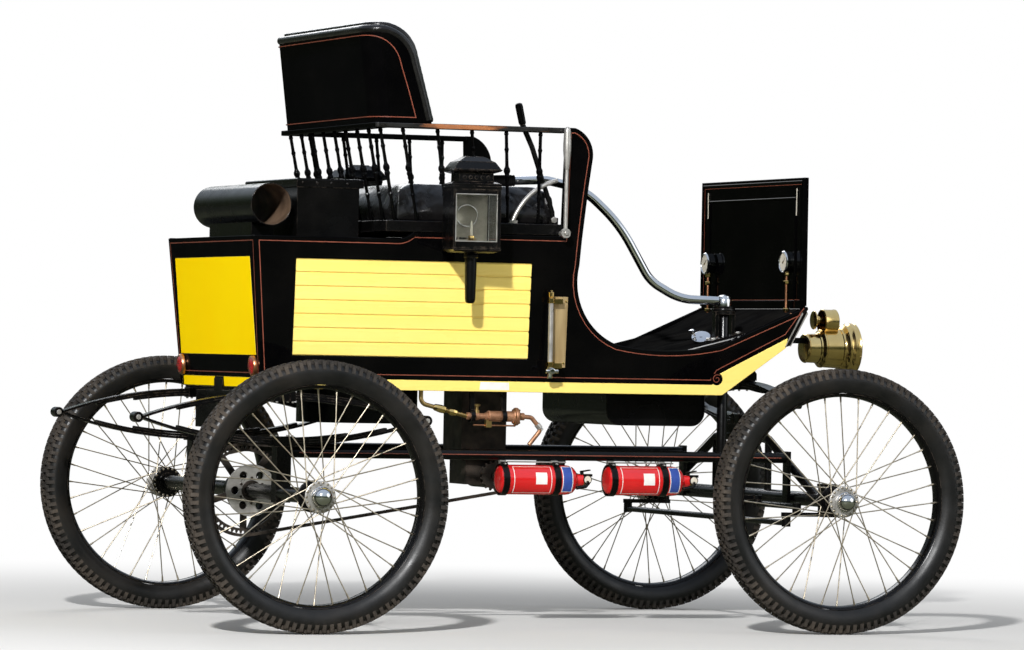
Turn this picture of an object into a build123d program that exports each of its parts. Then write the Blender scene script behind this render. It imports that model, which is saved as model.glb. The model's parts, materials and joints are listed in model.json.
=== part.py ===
from build123d import *
import os
from math import asin, cos, hypot, pi, radians, sin

# Steam runabout with a carriage body, wire wheels and tiller steering.
# Millimetres. +X forward, +Y to the car's left, +Z up. Stations along X are measured from
# the middle of the wheelbase; the finished pieces are shifted so that the origin is at the
# middle of the overall length, on the centreline, on the ground.

# Wheels and track
WHEELBASE = 1473
TRACK = 1372
TYRE_R = 355.5
TYRE_HALF_WIDTH = 39.5
TREAD_HALF_WIDTH = 26
SHOULDER_R = 347
BEAD_R = 290
BEAD_HALF_WIDTH = 25
RIM_GAP = 0.5
RIM_INNER_R = 280
RIM_HALF_WIDTH = 27
SPOKE_COUNT = 36
SPOKE_WIDTH = 3.4
SPOKE_CROSS = 60
HUB_R = 22
HUB_FLANGE_R = 42
HUB_FLANGE_T = 6
HUB_FLANGE_Y = 32
HUB_INNER_Y = 45
HUB_CAP_Y = 75
REAR_CAP_R = 28
FRONT_CAP_R = 26
STUB_R = 15
STUB_END_Y = 43
RUNNING_FIT = 0.05

FRONT_X = WHEELBASE / 2
REAR_X = -WHEELBASE / 2
WHEEL_Y = TRACK / 2
AXLE_Z = TYRE_R

# Body shell
BODY_REAR_X = -793
BODY_LEAN = 34 / 388
BOTTOM_HALF = 365
FLARE = 0.075
WALL = 18
SILL_BOTTOM = 632
PANEL_BOTTOM = 660
DECK_TOP = 1035
DECK_T = 16
FLOOR_T = 16
SHAFT_GAP = 0.3
BOARD_GAP = 0.2
SIDE_TOP = 1052.5
POST_REAR_X = 40
POST_TOP = 1343
TOE_TIP = (768, 871)
TOE_TOP = (765, 878)
TOE_CORNER = (711, 791)
TOE_UNDER = (707, 764)
SCROLL_REAR_X = 495
SCROLL_FRONT = (514, 690)
TOE_FLOOR_X = 525

# Insets: lower and upper edge, and ends
INSET_LOW = 720
INSET_TOP = 977
INSET_REAR = -706
INSET_FRONT = -43
INSET_BOARDS = 7
INSET_GROOVE = 5
INSET_T = 12
REAR_INSET_HALF = BOTTOM_HALF - 25
REAR_INSET_LOW = 719
REAR_INSET_TOP = 980

# Seat
SEAT_LOW = SIDE_TOP + 1.6
SEAT_REAR_X = -460
SEAT_HALF = BOTTOM_HALF + 35
SEAT_BOARD_T = 30
CUSHION_TOP = 1176
CUSHION_HALF = SEAT_HALF - 46
RAIL_T = 14
RAIL_W = 36
RAIL_REAR_X = -500
SPINDLE_R = 9
SIDE_SPINDLES = 5
BACK_SPINDLES = 9
SPINDLE_LEAN = 48
BACK_BOARD_T = 14
BACK_TOP = 1603
PAD_PROUD = 16
SHELL_REACH = 700
BACK_LEAN = 29 / 239
BACK_CORNER_R = 60
PAD_T = 42

# Steering
KINGPIN_Y = 585
KINGPIN_R = 9
BOSS_R = 17
BOSS_HALF_H = 33
EAR_T = 11
EAR_GAP = 0.5
YOKE_Y = 24
YOKE_T = 18
ARM_LENGTH = 110
LINK_LENGTH = 80
ROD_R = 8
COLUMN_X = 548
COLUMN_Y = 57 - BOTTOM_HALF
COLUMN_R = 14
COLUMN_ARM = 108
LINK_Z = 338
TIE_Z = 298
TILLER_Z = 889

# Springs and running gear
SPRING_Y = BOTTOM_HALF + 20
SPRING_W = 40
REAR_EYE_X = 400
REAR_EYE_Z = 552
REAR_RISE = 70
EYE_R = 14
LEAF_T = 7
LEAVES = 3
CLAMP_T = 3
FRONT_EYE_Y = 365
FRONT_EYE_Z = 612
FRONT_RISE = 58
REACH_Y = BOTTOM_HALF + 15
REACH_Z = 464
REACH_R = 14
AXLE_R = 20
CHAIN_Y = -60
SPROCKET_R = 118
SPROCKET_TEETH = 58
SPROCKET_WINDOW_R = 104
SPROCKET_ARMS = 5
CRANK_SPROCKET_R = 42
CRANK_TEETH = 17
CRANK_X = -20
CRANK_Z = 400
DISC_Y = -125
DISC_R = 70
DISC_HOLES = 6
DISC_HOLE_R = 11

TYRE_FRONT = FRONT_X + TYRE_R
SPRING_REAR = REAR_X - REAR_EYE_X - EYE_R
ORIGIN_X = (TYRE_FRONT + SPRING_REAR) / 2


def block(x0, x1, y0, y1, z0, z1):
    """A box between two corners."""
    centre = Pos((x0 + x1) / 2, (y0 + y1) / 2, (z0 + z1) / 2)
    return centre * Box(abs(x1 - x0), abs(y1 - y0), abs(z1 - z0))


def rod(start, end, radius):
    """A round bar between two points."""
    a, b = Vector(*start), Vector(*end)
    plane = Plane(origin=a, z_dir=(b - a))
    return extrude(plane * Circle(radius), amount=(b - a).length)


def square_bar(start, end, width):
    """A square bar between two points, for thin spokes and stays."""
    a, b = Vector(*start), Vector(*end)
    plane = Plane(origin=a, z_dir=(b - a))
    return extrude(plane * Rectangle(width, width), amount=(b - a).length)


def turned(profile, origin, direction):
    """A solid of revolution. The profile holds (distance along, radius) pairs."""
    plane = Plane(origin=origin, z_dir=direction)
    points = [(0, profile[0][0])] + [(r, d) for d, r in profile] + [(0, profile[-1][0])]
    outline = make_face(Polyline(*[(r, 0, d) for r, d in points], close=True))
    return plane * revolve(outline, Axis.Z)


def ring(profile, y):
    """A ring about the wheel axis Y. The profile holds (radius, distance along Y) pairs."""
    outline = make_face(Polyline(*[(r, y + d, 0) for r, d in profile], close=True))
    return revolve(outline, Axis.Y)


def side_prism(outline, y_low, y_high):
    """An outline in X and Z, extruded across the car."""
    plane = Plane(origin=(0, y_high, 0), x_dir=(1, 0, 0), z_dir=(0, -1, 0))
    return extrude(plane * outline, amount=y_high - y_low)


def cross_prism(outline, x_low, x_high):
    """An outline in Y and Z, extruded along the car."""
    plane = Plane(origin=(x_low, 0, 0), x_dir=(0, 1, 0), z_dir=(1, 0, 0))
    return extrude(plane * outline, amount=x_high - x_low)


def polygon(*points):
    return make_face(Polyline(*points, close=True))


def bent_tube(points, radii, radius):
    """A round tube along straight runs joined by arcs."""
    path = FilletPolyline(*points, radius=radii)
    start = Plane(origin=path @ 0, z_dir=path % 0)
    return sweep(start * Circle(radius), path=path)


def half_width(z):
    """Outer half width of the flared body at a height."""
    return BOTTOM_HALF + FLARE * (z - PANEL_BOTTOM)


def rear_x(z):
    """The leaning rear face of the body at a height."""
    return BODY_REAR_X - BODY_LEAN * (z - PANEL_BOTTOM)


def mirrored(piece):
    return mirror(piece, about=Plane.XZ)


def both_sides(piece):
    return Compound(children=[piece, mirrored(piece)])


def between_sides(piece):
    """Trims a cross board to the flared inner faces of the side panels."""
    low, high = SILL_BOTTOM - 200, POST_TOP + 100
    wall = WALL * hypot(1, FLARE) + BOARD_GAP
    wide = [(side * (half_width(z) - wall), z) for side, z in
            ((-1, low), (1, low), (1, high), (-1, high))]
    return piece & cross_prism(polygon(*wide), -1200, 1200)


def side_board(outline, outer=0.0, inner=WALL):
    """A board in the plane of the right side panel, between two depths from its outer face."""
    slope = hypot(1, FLARE)
    face = Plane(origin=(0, -half_width(0), 0), x_dir=(1, 0, 0),
                 z_dir=(0, -1 / slope, -FLARE / slope))
    return extrude(face.offset(-outer) * outline(slope), amount=outer - inner)


def side_panel_outline(k):
    """Side of the body from the rear corner to the toe, the arm and the post."""
    def at(x, z):
        return (x, z * k)

    lines = [
        Polyline(at(rear_x(PANEL_BOTTOM), PANEL_BOTTOM), at(SCROLL_REAR_X, PANEL_BOTTOM),
                 at(*SCROLL_FRONT), at(*TOE_CORNER), at(*TOE_TIP), at(*TOE_TOP),
                 at(514, 767)),
        ThreePointArc(at(514, 767), at(360, 750), at(213, 764)),
        ThreePointArc(at(213, 764), at(117, 842), at(94, 975)),
        ThreePointArc(at(94, 975), at(104, 1120), at(118, 1255)),
        ThreePointArc(at(118, 1255), at(107, 1311), at(66, POST_TOP)),
        Polyline(at(66, POST_TOP), at(POST_REAR_X, POST_TOP), at(POST_REAR_X, SIDE_TOP),
                 at(-384, SIDE_TOP)),
        ThreePointArc(at(-384, SIDE_TOP), at(-399, SIDE_TOP - 11), at(-422, DECK_TOP)),
        Polyline(at(-422, DECK_TOP), at(rear_x(DECK_TOP), DECK_TOP),
                 at(rear_x(PANEL_BOTTOM), PANEL_BOTTOM)),
    ]
    return make_face(lines)


def inset_outline(k):
    low, high = INSET_LOW * k, INSET_TOP * k
    return Pos((INSET_REAR + INSET_FRONT) / 2, (low + high) / 2) * Rectangle(
        INSET_FRONT - INSET_REAR, high - low)


def sill_outline(k):
    """Yellow band along the foot of the body, which runs up the toe."""
    points = [(rear_x(SILL_BOTTOM), SILL_BOTTOM), (TOE_FLOOR_X, SILL_BOTTOM), TOE_UNDER,
              TOE_CORNER, SCROLL_FRONT, (SCROLL_REAR_X, PANEL_BOTTOM),
              (rear_x(PANEL_BOTTOM), PANEL_BOTTOM)]
    return polygon(*[(x, z * k) for x, z in points])


def side_panels():
    panel = side_board(side_panel_outline) - side_board(inset_outline, -1, WALL + 1)
    return both_sides(panel)


def inset_boards(k):
    """Horizontal boards with a narrow groove under each."""
    height = (INSET_TOP - INSET_LOW) * k / INSET_BOARDS
    boards = []
    for n in range(INSET_BOARDS):
        low = INSET_LOW * k + n * height
        boards.append(Pos((INSET_REAR + INSET_FRONT) / 2, low + height / 2) *
                      Rectangle(INSET_FRONT - INSET_REAR, height - INSET_GROOVE))
    return boards


def body_insets():
    backing = side_board(inset_outline, 4, INSET_T)
    for n in range(INSET_BOARDS):
        backing += side_board(lambda k, n=n: inset_boards(k)[n], 0, 4)
    lean = Plane(origin=(rear_x(0), 0, 0), x_dir=(0, -1, 0),
                 z_dir=(-1, 0, -BODY_LEAN))
    k = hypot(1, BODY_LEAN)
    low, high = REAR_INSET_LOW * k, REAR_INSET_TOP * k
    sheet = Pos(0, (low + high) / 2) * Rectangle(2 * REAR_INSET_HALF, high - low)
    rear = extrude(lean * sheet, amount=-INSET_T)
    return Compound(children=[backing, mirrored(backing), rear])


def rear_panel():
    slope = [(rear_x(z) + dx, z) for dx, z in
             ((0, PANEL_BOTTOM), (WALL, PANEL_BOTTOM), (WALL, DECK_TOP), (0, DECK_TOP))]
    board = between_sides(side_prism(polygon(*slope), -500, 500))
    lean = Plane(origin=(rear_x(0), 0, 0), x_dir=(0, -1, 0),
                 z_dir=(-1, 0, -BODY_LEAN))
    k = hypot(1, BODY_LEAN)
    low, high = REAR_INSET_LOW * k, REAR_INSET_TOP * k
    window = lean * (Pos(0, (low + high) / 2) * Rectangle(2 * REAR_INSET_HALF, high - low))
    return board - extrude(window, amount=2 * WALL, both=True)


def rear_deck():
    x0, x1 = rear_x(DECK_TOP) + WALL, SEAT_REAR_X - 30
    slope = [(x0, DECK_TOP), (rear_x(DECK_TOP - DECK_T) + WALL, DECK_TOP - DECK_T),
             (x1, DECK_TOP - DECK_T), (x1, DECK_TOP)]
    return between_sides(side_prism(polygon(*slope), -500, 500))


def sill_boards():
    sill = side_board(sill_outline)
    slope = [(rear_x(z) + dx, z) for dx, z in
             ((0, SILL_BOTTOM), (WALL, SILL_BOTTOM), (WALL, PANEL_BOTTOM), (0, PANEL_BOTTOM))]
    rear = between_sides(side_prism(polygon(*slope), -500, 500))
    return Compound(children=[sill, mirrored(sill), rear])


def body_floor():
    """Floor board that turns up behind the toe to close the nose."""
    x0 = rear_x(SILL_BOTTOM) + WALL
    top = SILL_BOTTOM + FLOOR_T
    outline = polygon((x0, SILL_BOTTOM), (TOE_FLOOR_X, SILL_BOTTOM), TOE_UNDER,
                      (TOE_TIP[0] - 2, TOE_TIP[1] - 8), (TOE_TIP[0] - 20, TOE_TIP[1] - 8),
                      (TOE_UNDER[0] - 12, TOE_UNDER[1] + 10), (TOE_FLOOR_X - 8, top), (x0, top))
    return between_sides(side_prism(outline, -500, 500)) - column_hole()


def column_hole():
    return rod((COLUMN_X, COLUMN_Y, 600), (COLUMN_X, COLUMN_Y, 900), COLUMN_R + SHAFT_GAP)


TOE_BOARD_TOP = [(400, 745), (619, 801), (762, 872)]


def toe_board_z(x):
    """Height of the toe board's upper face."""
    spans = [(POST_REAR_X, TOE_BOARD_TOP[0][1])] + TOE_BOARD_TOP
    for (xa, za), (xb, zb) in zip(spans, spans[1:]):
        if x <= xb:
            return za + (zb - za) * (x - xa) / (xb - xa)
    return TOE_BOARD_TOP[-1][1]


def toe_board():
    top = [(POST_REAR_X, TOE_BOARD_TOP[0][1])] + TOE_BOARD_TOP
    low = [(x, z - FLOOR_T) for x, z in reversed(top)]
    low[0] = (TOE_TIP[0] - 22, TOE_TIP[1] - 8 + 0.5)
    board = between_sides(side_prism(polygon(*top, *low), -500, 500))
    return board - column_hole()


DASH_X = 752
DASH_T = 14
DASH_HALF = BOTTOM_HALF + 7
DASH_BOTTOM = 879.6
DASH_TOP = 1231
DASH_BORDER = 16


def dash():
    """Dash board with sunk fields, standing on the sides' tips and the toe board."""
    board = block(DASH_X, DASH_X + DASH_T, -DASH_HALF, DASH_HALF, DASH_BOTTOM, DASH_TOP)
    recess = block(DASH_X - 1, DASH_X + 3, -DASH_HALF + DASH_BORDER, DASH_HALF - DASH_BORDER,
                   DASH_BOTTOM + DASH_BORDER, DASH_TOP - DASH_BORDER)
    front = Pos(DASH_T - 2, 0, 0) * recess
    foot_z = TOE_BOARD_TOP[-1][1] + SHAFT_GAP
    inner = half_width(foot_z) - WALL * hypot(1, FLARE) - SHAFT_GAP
    foot = block(DASH_X, DASH_X + DASH_T, -inner, inner, foot_z, DASH_BOTTOM)
    return board - recess - front + foot


GAUGE_Y = DASH_HALF - 86
GAUGE_Z = 1000
GAUGE_R = 30
GAUGE_T = 28
GAUGE_PIPE_R = 4


def dash_gauges():
    face_x = DASH_X + 3
    gauge = turned([(0, GAUGE_R - 8), (6, GAUGE_R), (GAUGE_T - 6, GAUGE_R),
                    (GAUGE_T, GAUGE_R - 4)], (face_x, -GAUGE_Y, GAUGE_Z), (-1, 0, 0))
    pipe_x = face_x - GAUGE_T / 2
    foot_z = toe_board_z(pipe_x + GAUGE_PIPE_R) + BOARD_GAP
    pipe = rod((pipe_x, -GAUGE_Y, GAUGE_Z - GAUGE_R + 3), (pipe_x, -GAUGE_Y, foot_z),
               GAUGE_PIPE_R)
    return both_sides(gauge + pipe)


def seat_box():
    """Riser board under the front of the seat, and the seat board on top."""
    riser = between_sides(block(POST_REAR_X - WALL, POST_REAR_X - BOARD_GAP, -500, 500,
                                SILL_BOTTOM + FLOOR_T, SEAT_LOW))
    half = half_width(SEAT_LOW)
    board = block(SEAT_REAR_X, POST_REAR_X - BOARD_GAP, -half, half, SEAT_LOW,
                  SEAT_LOW + SEAT_BOARD_T)
    return riser + board


def seat_cushion():
    z0 = SEAT_LOW + SEAT_BOARD_T
    cushion = block(SEAT_REAR_X + 42, POST_REAR_X - 4, -CUSHION_HALF, CUSHION_HALF, z0 + 0.2,
                    CUSHION_TOP)
    cushion = fillet(cushion.edges().group_by(Axis.Z)[-1], 20)
    return cushion


def back_section(outset, thickness, front_x):
    """U shaped section of the seat back in plan, open to the front."""
    x0, half = RAIL_REAR_X + outset, SEAT_HALF - outset
    radius = BACK_CORNER_R - outset
    x1, inner = x0 + thickness, half - thickness
    inner_r = max(radius - thickness, 6)
    outer_lines = [Line((front_x, -half), (x0 + radius, -half)),
                   RadiusArc((x0 + radius, -half), (x0, -half + radius), radius),
                   Line((x0, -half + radius), (x0, half - radius)),
                   RadiusArc((x0, half - radius), (x0 + radius, half), radius),
                   Line((x0 + radius, half), (front_x, half)),
                   Line((front_x, half), (front_x, inner)),
                   Line((front_x, inner), (x1 + inner_r, inner)),
                   RadiusArc((x1 + inner_r, inner), (x1, inner - inner_r), -inner_r),
                   Line((x1, inner - inner_r), (x1, -inner + inner_r)),
                   RadiusArc((x1, -inner + inner_r), (x1 + inner_r, -inner), -inner_r),
                   Line((x1 + inner_r, -inner), (front_x, -inner)),
                   Line((front_x, -inner), (front_x, -half))]
    return make_face(outer_lines)


def back_outline(low, high, forward):
    """Side view of the seat back, whose wings curve down to the rail."""
    foot, brow, crown = RAIL_REAR_X + 161, RAIL_REAR_X + 111, RAIL_REAR_X + 78
    lines = [Polyline((-SHELL_REACH, high), (-SHELL_REACH, low), (foot + forward, low),
                      (brow + forward, high - 85)),
             ThreePointArc((brow + forward, high - 85), (crown + forward, high - 27),
                           (RAIL_REAR_X + forward, high)),
             Line((RAIL_REAR_X + forward, high), (-SHELL_REACH, high))]
    return make_face(lines)


def leaned_shell(outset, thickness, low, high, forward):
    base = Pos(0, 0, low) * back_section(outset, thickness, RAIL_REAR_X + 200)
    shell = extrude(base, amount=high - low + 40, dir=(-BACK_LEAN, 0, 1))
    return shell & side_prism(back_outline(low, high, forward), -SHELL_REACH, SHELL_REACH)


def seat_back():
    return leaned_shell(0, BACK_BOARD_T, POST_TOP + SHAFT_GAP, BACK_TOP - 8, 0)


def seat_back_pad():
    return leaned_shell(BACK_BOARD_T + SHAFT_GAP, PAD_T, POST_TOP + 2, BACK_TOP + 10,
                        PAD_PROUD)


def spindle(foot, head):
    """A turned spindle: two bulbs, necks and plain ends."""
    a, b = Vector(*foot), Vector(*head)
    length = (b - a).length
    shape = [(0, 0.55), (0.48, 0.5), (0.55, 1.0), (0.62, 0.5), (0.9, 0.5), (0.95, 0.8), (1, 0.5)]
    return turned([(d * length, r * SPINDLE_R) for d, r in shape], foot, b - a)


def seat_rail():
    """Rail round the seat on turned spindles, joined into one frame."""
    low, high = POST_TOP - RAIL_T, POST_TOP
    seat_top = SEAT_LOW + SEAT_BOARD_T
    y_out = SEAT_HALF + RAIL_W / 2 - 4
    y_in = y_out - RAIL_W
    rail = block(RAIL_REAR_X, RAIL_REAR_X + RAIL_W + 10, -y_out, y_out, low, high)
    for side in (-1, 1):
        rail += block(RAIL_REAR_X, POST_REAR_X - SHAFT_GAP, side * y_in, side * y_out, low, high)
        for n in range(SIDE_SPINDLES):
            x = RAIL_REAR_X + 80 + n * 98
            foot_x = x + SPINDLE_LEAN * (1 - n / (SIDE_SPINDLES - 1))
            rail += spindle((foot_x, side * (SEAT_HALF - 12), seat_top + 0.8),
                            (x, side * (y_in + y_out) / 2, low + 4))
    for n in range(BACK_SPINDLES):
        y = (n / (BACK_SPINDLES - 1) - 0.5) * 2 * (SEAT_HALF - 14)
        head_x = RAIL_REAR_X + 20
        rail += spindle((head_x + SPINDLE_LEAN, y * 0.99, seat_top + 0.8), (head_x, y, low + 4))
    return rail


BOX_X = (-658, -468)
BOX_HALF = 230
BOX_TOP = 1194
FLUE_X = -738
FLUE_Z = 1121
FLUE_R = 57
FLUE_HALF = 261
FLUE_WALL = 3


def smoke_box():
    """Satin black box behind the seat, with a lid band."""
    x0, x1 = BOX_X
    box = block(x0 + 3, x1 - 12, -BOX_HALF + 3, BOX_HALF - 3, DECK_TOP, BOX_TOP - 24)
    box = box & block(x0, SEAT_REAR_X - SHAFT_GAP, -BOX_HALF, BOX_HALF, DECK_TOP, BOX_TOP)
    lid = block(x0, x1, -BOX_HALF, BOX_HALF, BOX_TOP - 24, BOX_TOP)
    return box + fillet(lid.edges().group_by(Axis.Z)[-1], 5)


def flue():
    """Open flue across the deck, on its saddle."""
    tube = rod((FLUE_X, -FLUE_HALF, FLUE_Z), (FLUE_X, FLUE_HALF, FLUE_Z), FLUE_R)
    bore = rod((FLUE_X, -FLUE_HALF - 1, FLUE_Z), (FLUE_X, FLUE_HALF + 1, FLUE_Z),
               FLUE_R - FLUE_WALL)
    saddle = block(FLUE_X - 32, FLUE_X + 32, -BOX_HALF + 40, BOX_HALF - 40, DECK_TOP,
                   FLUE_Z - FLUE_R + 12)
    return saddle + tube - bore


BOILER_X = -545
BOILER_R = 190


CASING_X = -400
CASING_R = 165
CASING_LOW = 540


def boiler():
    """Boiler as a plain drum in the body, and the burner's casing below the floor."""
    drum = rod((BOILER_X, 0, SILL_BOTTOM + FLOOR_T), (BOILER_X, 0, DECK_TOP - DECK_T - 15),
               BOILER_R)
    casing = rod((CASING_X, 0, CASING_LOW), (CASING_X, 0, SILL_BOTTOM - BOARD_GAP), CASING_R)
    return Compound(children=[drum, casing])


def toothed(radius, depth, teeth, y0, y1, x, z):
    """A sprocket about an axis across the car."""
    points = []
    for n in range(teeth):
        for part, r in ((-0.3, radius - depth), (-0.12, radius), (0.12, radius),
                        (0.3, radius - depth)):
            angle = 2 * pi * (n + part) / teeth
            points.append((x + r * cos(angle), z + r * sin(angle)))
    return side_prism(polygon(*points), y0, y1)


def engine():
    """Vertical engine as a plain block, with its crank end and crank sprocket."""
    body = block(-110, 20, -40, 110, CRANK_Z + 40, SILL_BOTTOM)
    crank = rod((CRANK_X, -50, CRANK_Z), (CRANK_X, 100, CRANK_Z), 34)
    base = block(-95, 5, -35, 95, CRANK_Z - 25, CRANK_Z + 41)
    shaft = rod((CRANK_X, -72, CRANK_Z), (CRANK_X, -40, CRANK_Z), 10)
    return body + base + crank + shaft + toothed(
        CRANK_SPROCKET_R, 6, CRANK_TEETH, CHAIN_Y - 3, CHAIN_Y + 3, CRANK_X, CRANK_Z)


TANK_X = (232, 521)
TANK_Y = (-250, 250)
TANK_LOW = 545


def under_tank():
    tank = block(*TANK_X, *TANK_Y, TANK_LOW, SILL_BOTTOM)
    front = tank.edges().filter_by(Axis.Y).group_by(Axis.Z)[0]
    return fillet(front, 40)


LAMP_X = (914, 1066)
LAMP_Z = 765
LAMP_R = 73
LAMP_ARM_Z = (778, 794)


def nose_x(z):
    """The front face of the nose board at a height."""
    low, high = TOE_UNDER, (TOE_TIP[0] - 2, TOE_TIP[1] - 8)
    return low[0] + (high[0] - low[0]) * (z - low[1]) / (high[1] - low[1])


def headlamp():
    """Brass drum lamp with a flanged mouth, a rear chamber and a cowl along the car."""
    x0, x1 = LAMP_X
    body = turned([(0, 20), (4, 40), (46, 42), (50, 53), (108, 56), (120, LAMP_R - 6),
                   (136, LAMP_R), (x1 - x0, LAMP_R), (x1 - x0, LAMP_R - 6),
                   (132, LAMP_R - 12)], (x0, 0, LAMP_Z), (1, 0, 0))
    top = LAMP_Z + 75
    cowl = rod((x0 + 56, 0, top), (x0 + 98, 0, top), 35)
    cowl -= rod((x0 + 50, 0, top), (x0 + 90, 0, top), 32)
    plate = rod((x0 + 30, 0, top + 4), (x0 + 36, 0, top + 4), 26)
    plate += rod((x0 + 34, 0, top + 4), (x0 + 92, 0, top + 4), 12)
    arm = side_prism(polygon((nose_x(LAMP_ARM_Z[0]) + SHAFT_GAP, LAMP_ARM_Z[0]),
                             (x0 + 8, LAMP_ARM_Z[0]), (x0 + 8, LAMP_ARM_Z[1]),
                             (nose_x(LAMP_ARM_Z[1]) + SHAFT_GAP, LAMP_ARM_Z[1])), -12, 12)
    return body + cowl + plate + arm


SIDE_LAMP_X = -249.5
SIDE_LAMP_Y = -BOTTOM_HALF - 113.5
SIDE_LAMP_W = 132
SIDE_LAMP_BODY = 128
SIDE_LAMP_TURN = -6
SIDE_LAMP_LOW = 1000
SIDE_LAMP_HIGH = 1166
SIDE_LAMP_WINDOW_Z = (1029, 1156)
SIDE_LAMP_POSTS = (5, 9)
SIDE_LAMP_STEM = 134
LAMP_PAD_Z = (1008, 1050)


def lamp_turn(piece):
    """Turns a piece of the right side lamp about the lamp's upright axis."""
    there, back = Pos(SIDE_LAMP_X, SIDE_LAMP_Y, 0), Pos(-SIDE_LAMP_X, -SIDE_LAMP_Y, 0)
    return there * Rot(0, 0, SIDE_LAMP_TURN) * back * piece


def frustum(width_low, width_high, z_low, z_high):
    """Four-sided taper about the side lamp's centre."""
    low = Pos(SIDE_LAMP_X, SIDE_LAMP_Y, z_low) * Rectangle(width_low, width_low)
    high = Pos(SIDE_LAMP_X, SIDE_LAMP_Y, z_high) * Rectangle(width_high, width_high)
    return loft([low, high])


def side_lamps():
    """Square carriage lamps with glazed bodies, tiered roofs and a hanging stem."""
    w, body = SIDE_LAMP_W, SIDE_LAMP_BODY
    thin, post = SIDE_LAMP_POSTS
    x0, x1 = SIDE_LAMP_X - body / 2, SIDE_LAMP_X + body / 2
    y0, y1 = SIDE_LAMP_Y - body / 2, SIDE_LAMP_Y + body / 2
    z0, z1 = SIDE_LAMP_LOW, SIDE_LAMP_HIGH
    low, high = SIDE_LAMP_WINDOW_Z
    shell = block(x0, x1, y0, y1, z0 + 10, z1)
    shell -= block(x0 + 4, x1 - 4, y0 + 4, y1 - 4, z0 + 20, z1 - 4)
    shell -= block(x0 + thin, x1 - post, y0 - 1, y0 + 5, low, high)
    shell -= block(x1 - 5, x1 + 1, y0 + post, y1 - thin, low, high)
    tiers = frustum(w - 34, w, z0, z0 + 8) + frustum(w, w, z0 + 8, z0 + 12)
    for wa, wb, za, zb in ((w - 4, w, 0, 10), (w - 2, w - 2, 10, 23), (94, 94, 23, 48),
                           (w - 8, w, 48, 54), (w - 2, 100, 54, 74), (96, 52, 74, 90)):
        tiers += frustum(wa, wb, z1 + za, z1 + zb)
    reflector = turned([(0, 20), (6, 27), (9, 27)],
                       (SIDE_LAMP_X, y1 - 3, (low + high) / 2 + 8), (0, -1, 0))
    burner = turned([(0, 19), (16, 19), (20, 9), (28, 8)], (SIDE_LAMP_X, SIDE_LAMP_Y, z0 + 19),
                    (0, 0, 1))
    stem = turned([(0, 9), (5, 13.5), (60, 15.5), (SIDE_LAMP_STEM + 1, 17)],
                  (SIDE_LAMP_X, SIDE_LAMP_Y, z0 - SIDE_LAMP_STEM), (0, 0, 1))
    wall_y = -(half_width(LAMP_PAD_Z[1]) + 0.3)
    pad = block(SIDE_LAMP_X - 24, SIDE_LAMP_X + 24, wall_y - 5, wall_y, *LAMP_PAD_Z)
    arm = block(SIDE_LAMP_X - 12, SIDE_LAMP_X + 12, y1 - 3, wall_y - 4, LAMP_PAD_Z[0] + 8,
                LAMP_PAD_Z[1] - 8)
    lamp = lamp_turn(shell + tiers + reflector + burner) + stem + arm + pad
    return both_sides(lamp)


def lamp_glass():
    """Panes of the side lamps, outward and forward."""
    half = SIDE_LAMP_BODY / 2
    thin, post = SIDE_LAMP_POSTS
    x0, x1 = SIDE_LAMP_X - half, SIDE_LAMP_X + half
    y0, y1 = SIDE_LAMP_Y - half, SIDE_LAMP_Y + half
    outer = lamp_turn(block(x0 + thin, x1 - post, y0 + 1, y0 + 4, *SIDE_LAMP_WINDOW_Z))
    front = lamp_turn(block(x1 - 4, x1 - 1, y0 + post, y1 - thin, *SIDE_LAMP_WINDOW_Z))
    return Compound(children=[outer, front, mirrored(outer), mirrored(front)])


def water_gauge():
    """Brass sight column on a back plate, with a cross cock."""
    def wall(z, out):
        return -(half_width(z) + out)

    plate = side_board(lambda k: Pos(40, 795 * k) * Rectangle(44, 190 * k), -8, -SHAFT_GAP)
    column = rod((8, wall(900, 22), 671), (8, wall(900, 22), 907), 9)
    for z in (715, 875):
        column += block(4, 40, wall(900, 28), wall(z, 5), z - 7, z + 7)
    cock = rod((8, wall(900, 22), 690), (8, wall(900, 44), 690), 6)
    tee = rod((-10, wall(900, 38), 690), (26, wall(900, 38), 690), 5)
    return plate + column + cock + tee


REFLECTOR_Z = 690
REFLECTOR_R = 28
REFLECTOR_Y = BOTTOM_HALF - 39


def reflectors():
    face_x = rear_x(REFLECTOR_Z)
    k = hypot(1, BODY_LEAN)
    normal = (-1 / k, 0, -BODY_LEAN / k)
    dome = turned([(0.3, REFLECTOR_R), (8, REFLECTOR_R), (14, REFLECTOR_R - 8), (17, 8)],
                  (face_x, -REFLECTOR_Y, REFLECTOR_Z), normal)
    return both_sides(dome)


PLATE_HALF = 203
PLATE_Z = (520, 622)
PLATE_T = 3
PLATE_STRAP_HALF = 38


def number_plate():
    """Bare plate below the rear sill, on a wide strap."""
    top = PANEL_BOTTOM - 5
    face_x = rear_x(top) - SHAFT_GAP
    plate = block(face_x - PLATE_T, face_x, -PLATE_HALF, PLATE_HALF, *PLATE_Z)
    return plate + block(face_x - PLATE_T, face_x, -PLATE_STRAP_HALF, PLATE_STRAP_HALF,
                         PLATE_Z[1] - 1, top)


EXTINGUISHER_Z = 398
EXTINGUISHER_R = 40
VALVE_LENGTH = 44
EXTINGUISHERS = ((-127, 143), (183, 451))


def extinguishers():
    """Two bottles with domed ends and valve heads, hung below the right reach tube."""
    bottles = []
    for x0, x1 in EXTINGUISHERS:
        body = x1 - x0 - VALVE_LENGTH
        profile = [(0, 26), (10, 38), (22, EXTINGUISHER_R), (body - 26, EXTINGUISHER_R),
                   (body - 8, 30), (body, 16), (body + 18, 16), (body + 20, 11),
                   (x1 - x0, 9)]
        bottles.append(turned(profile, (x0, -REACH_Y, EXTINGUISHER_Z), (1, 0, 0)))
    return Compound(children=bottles)


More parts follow.
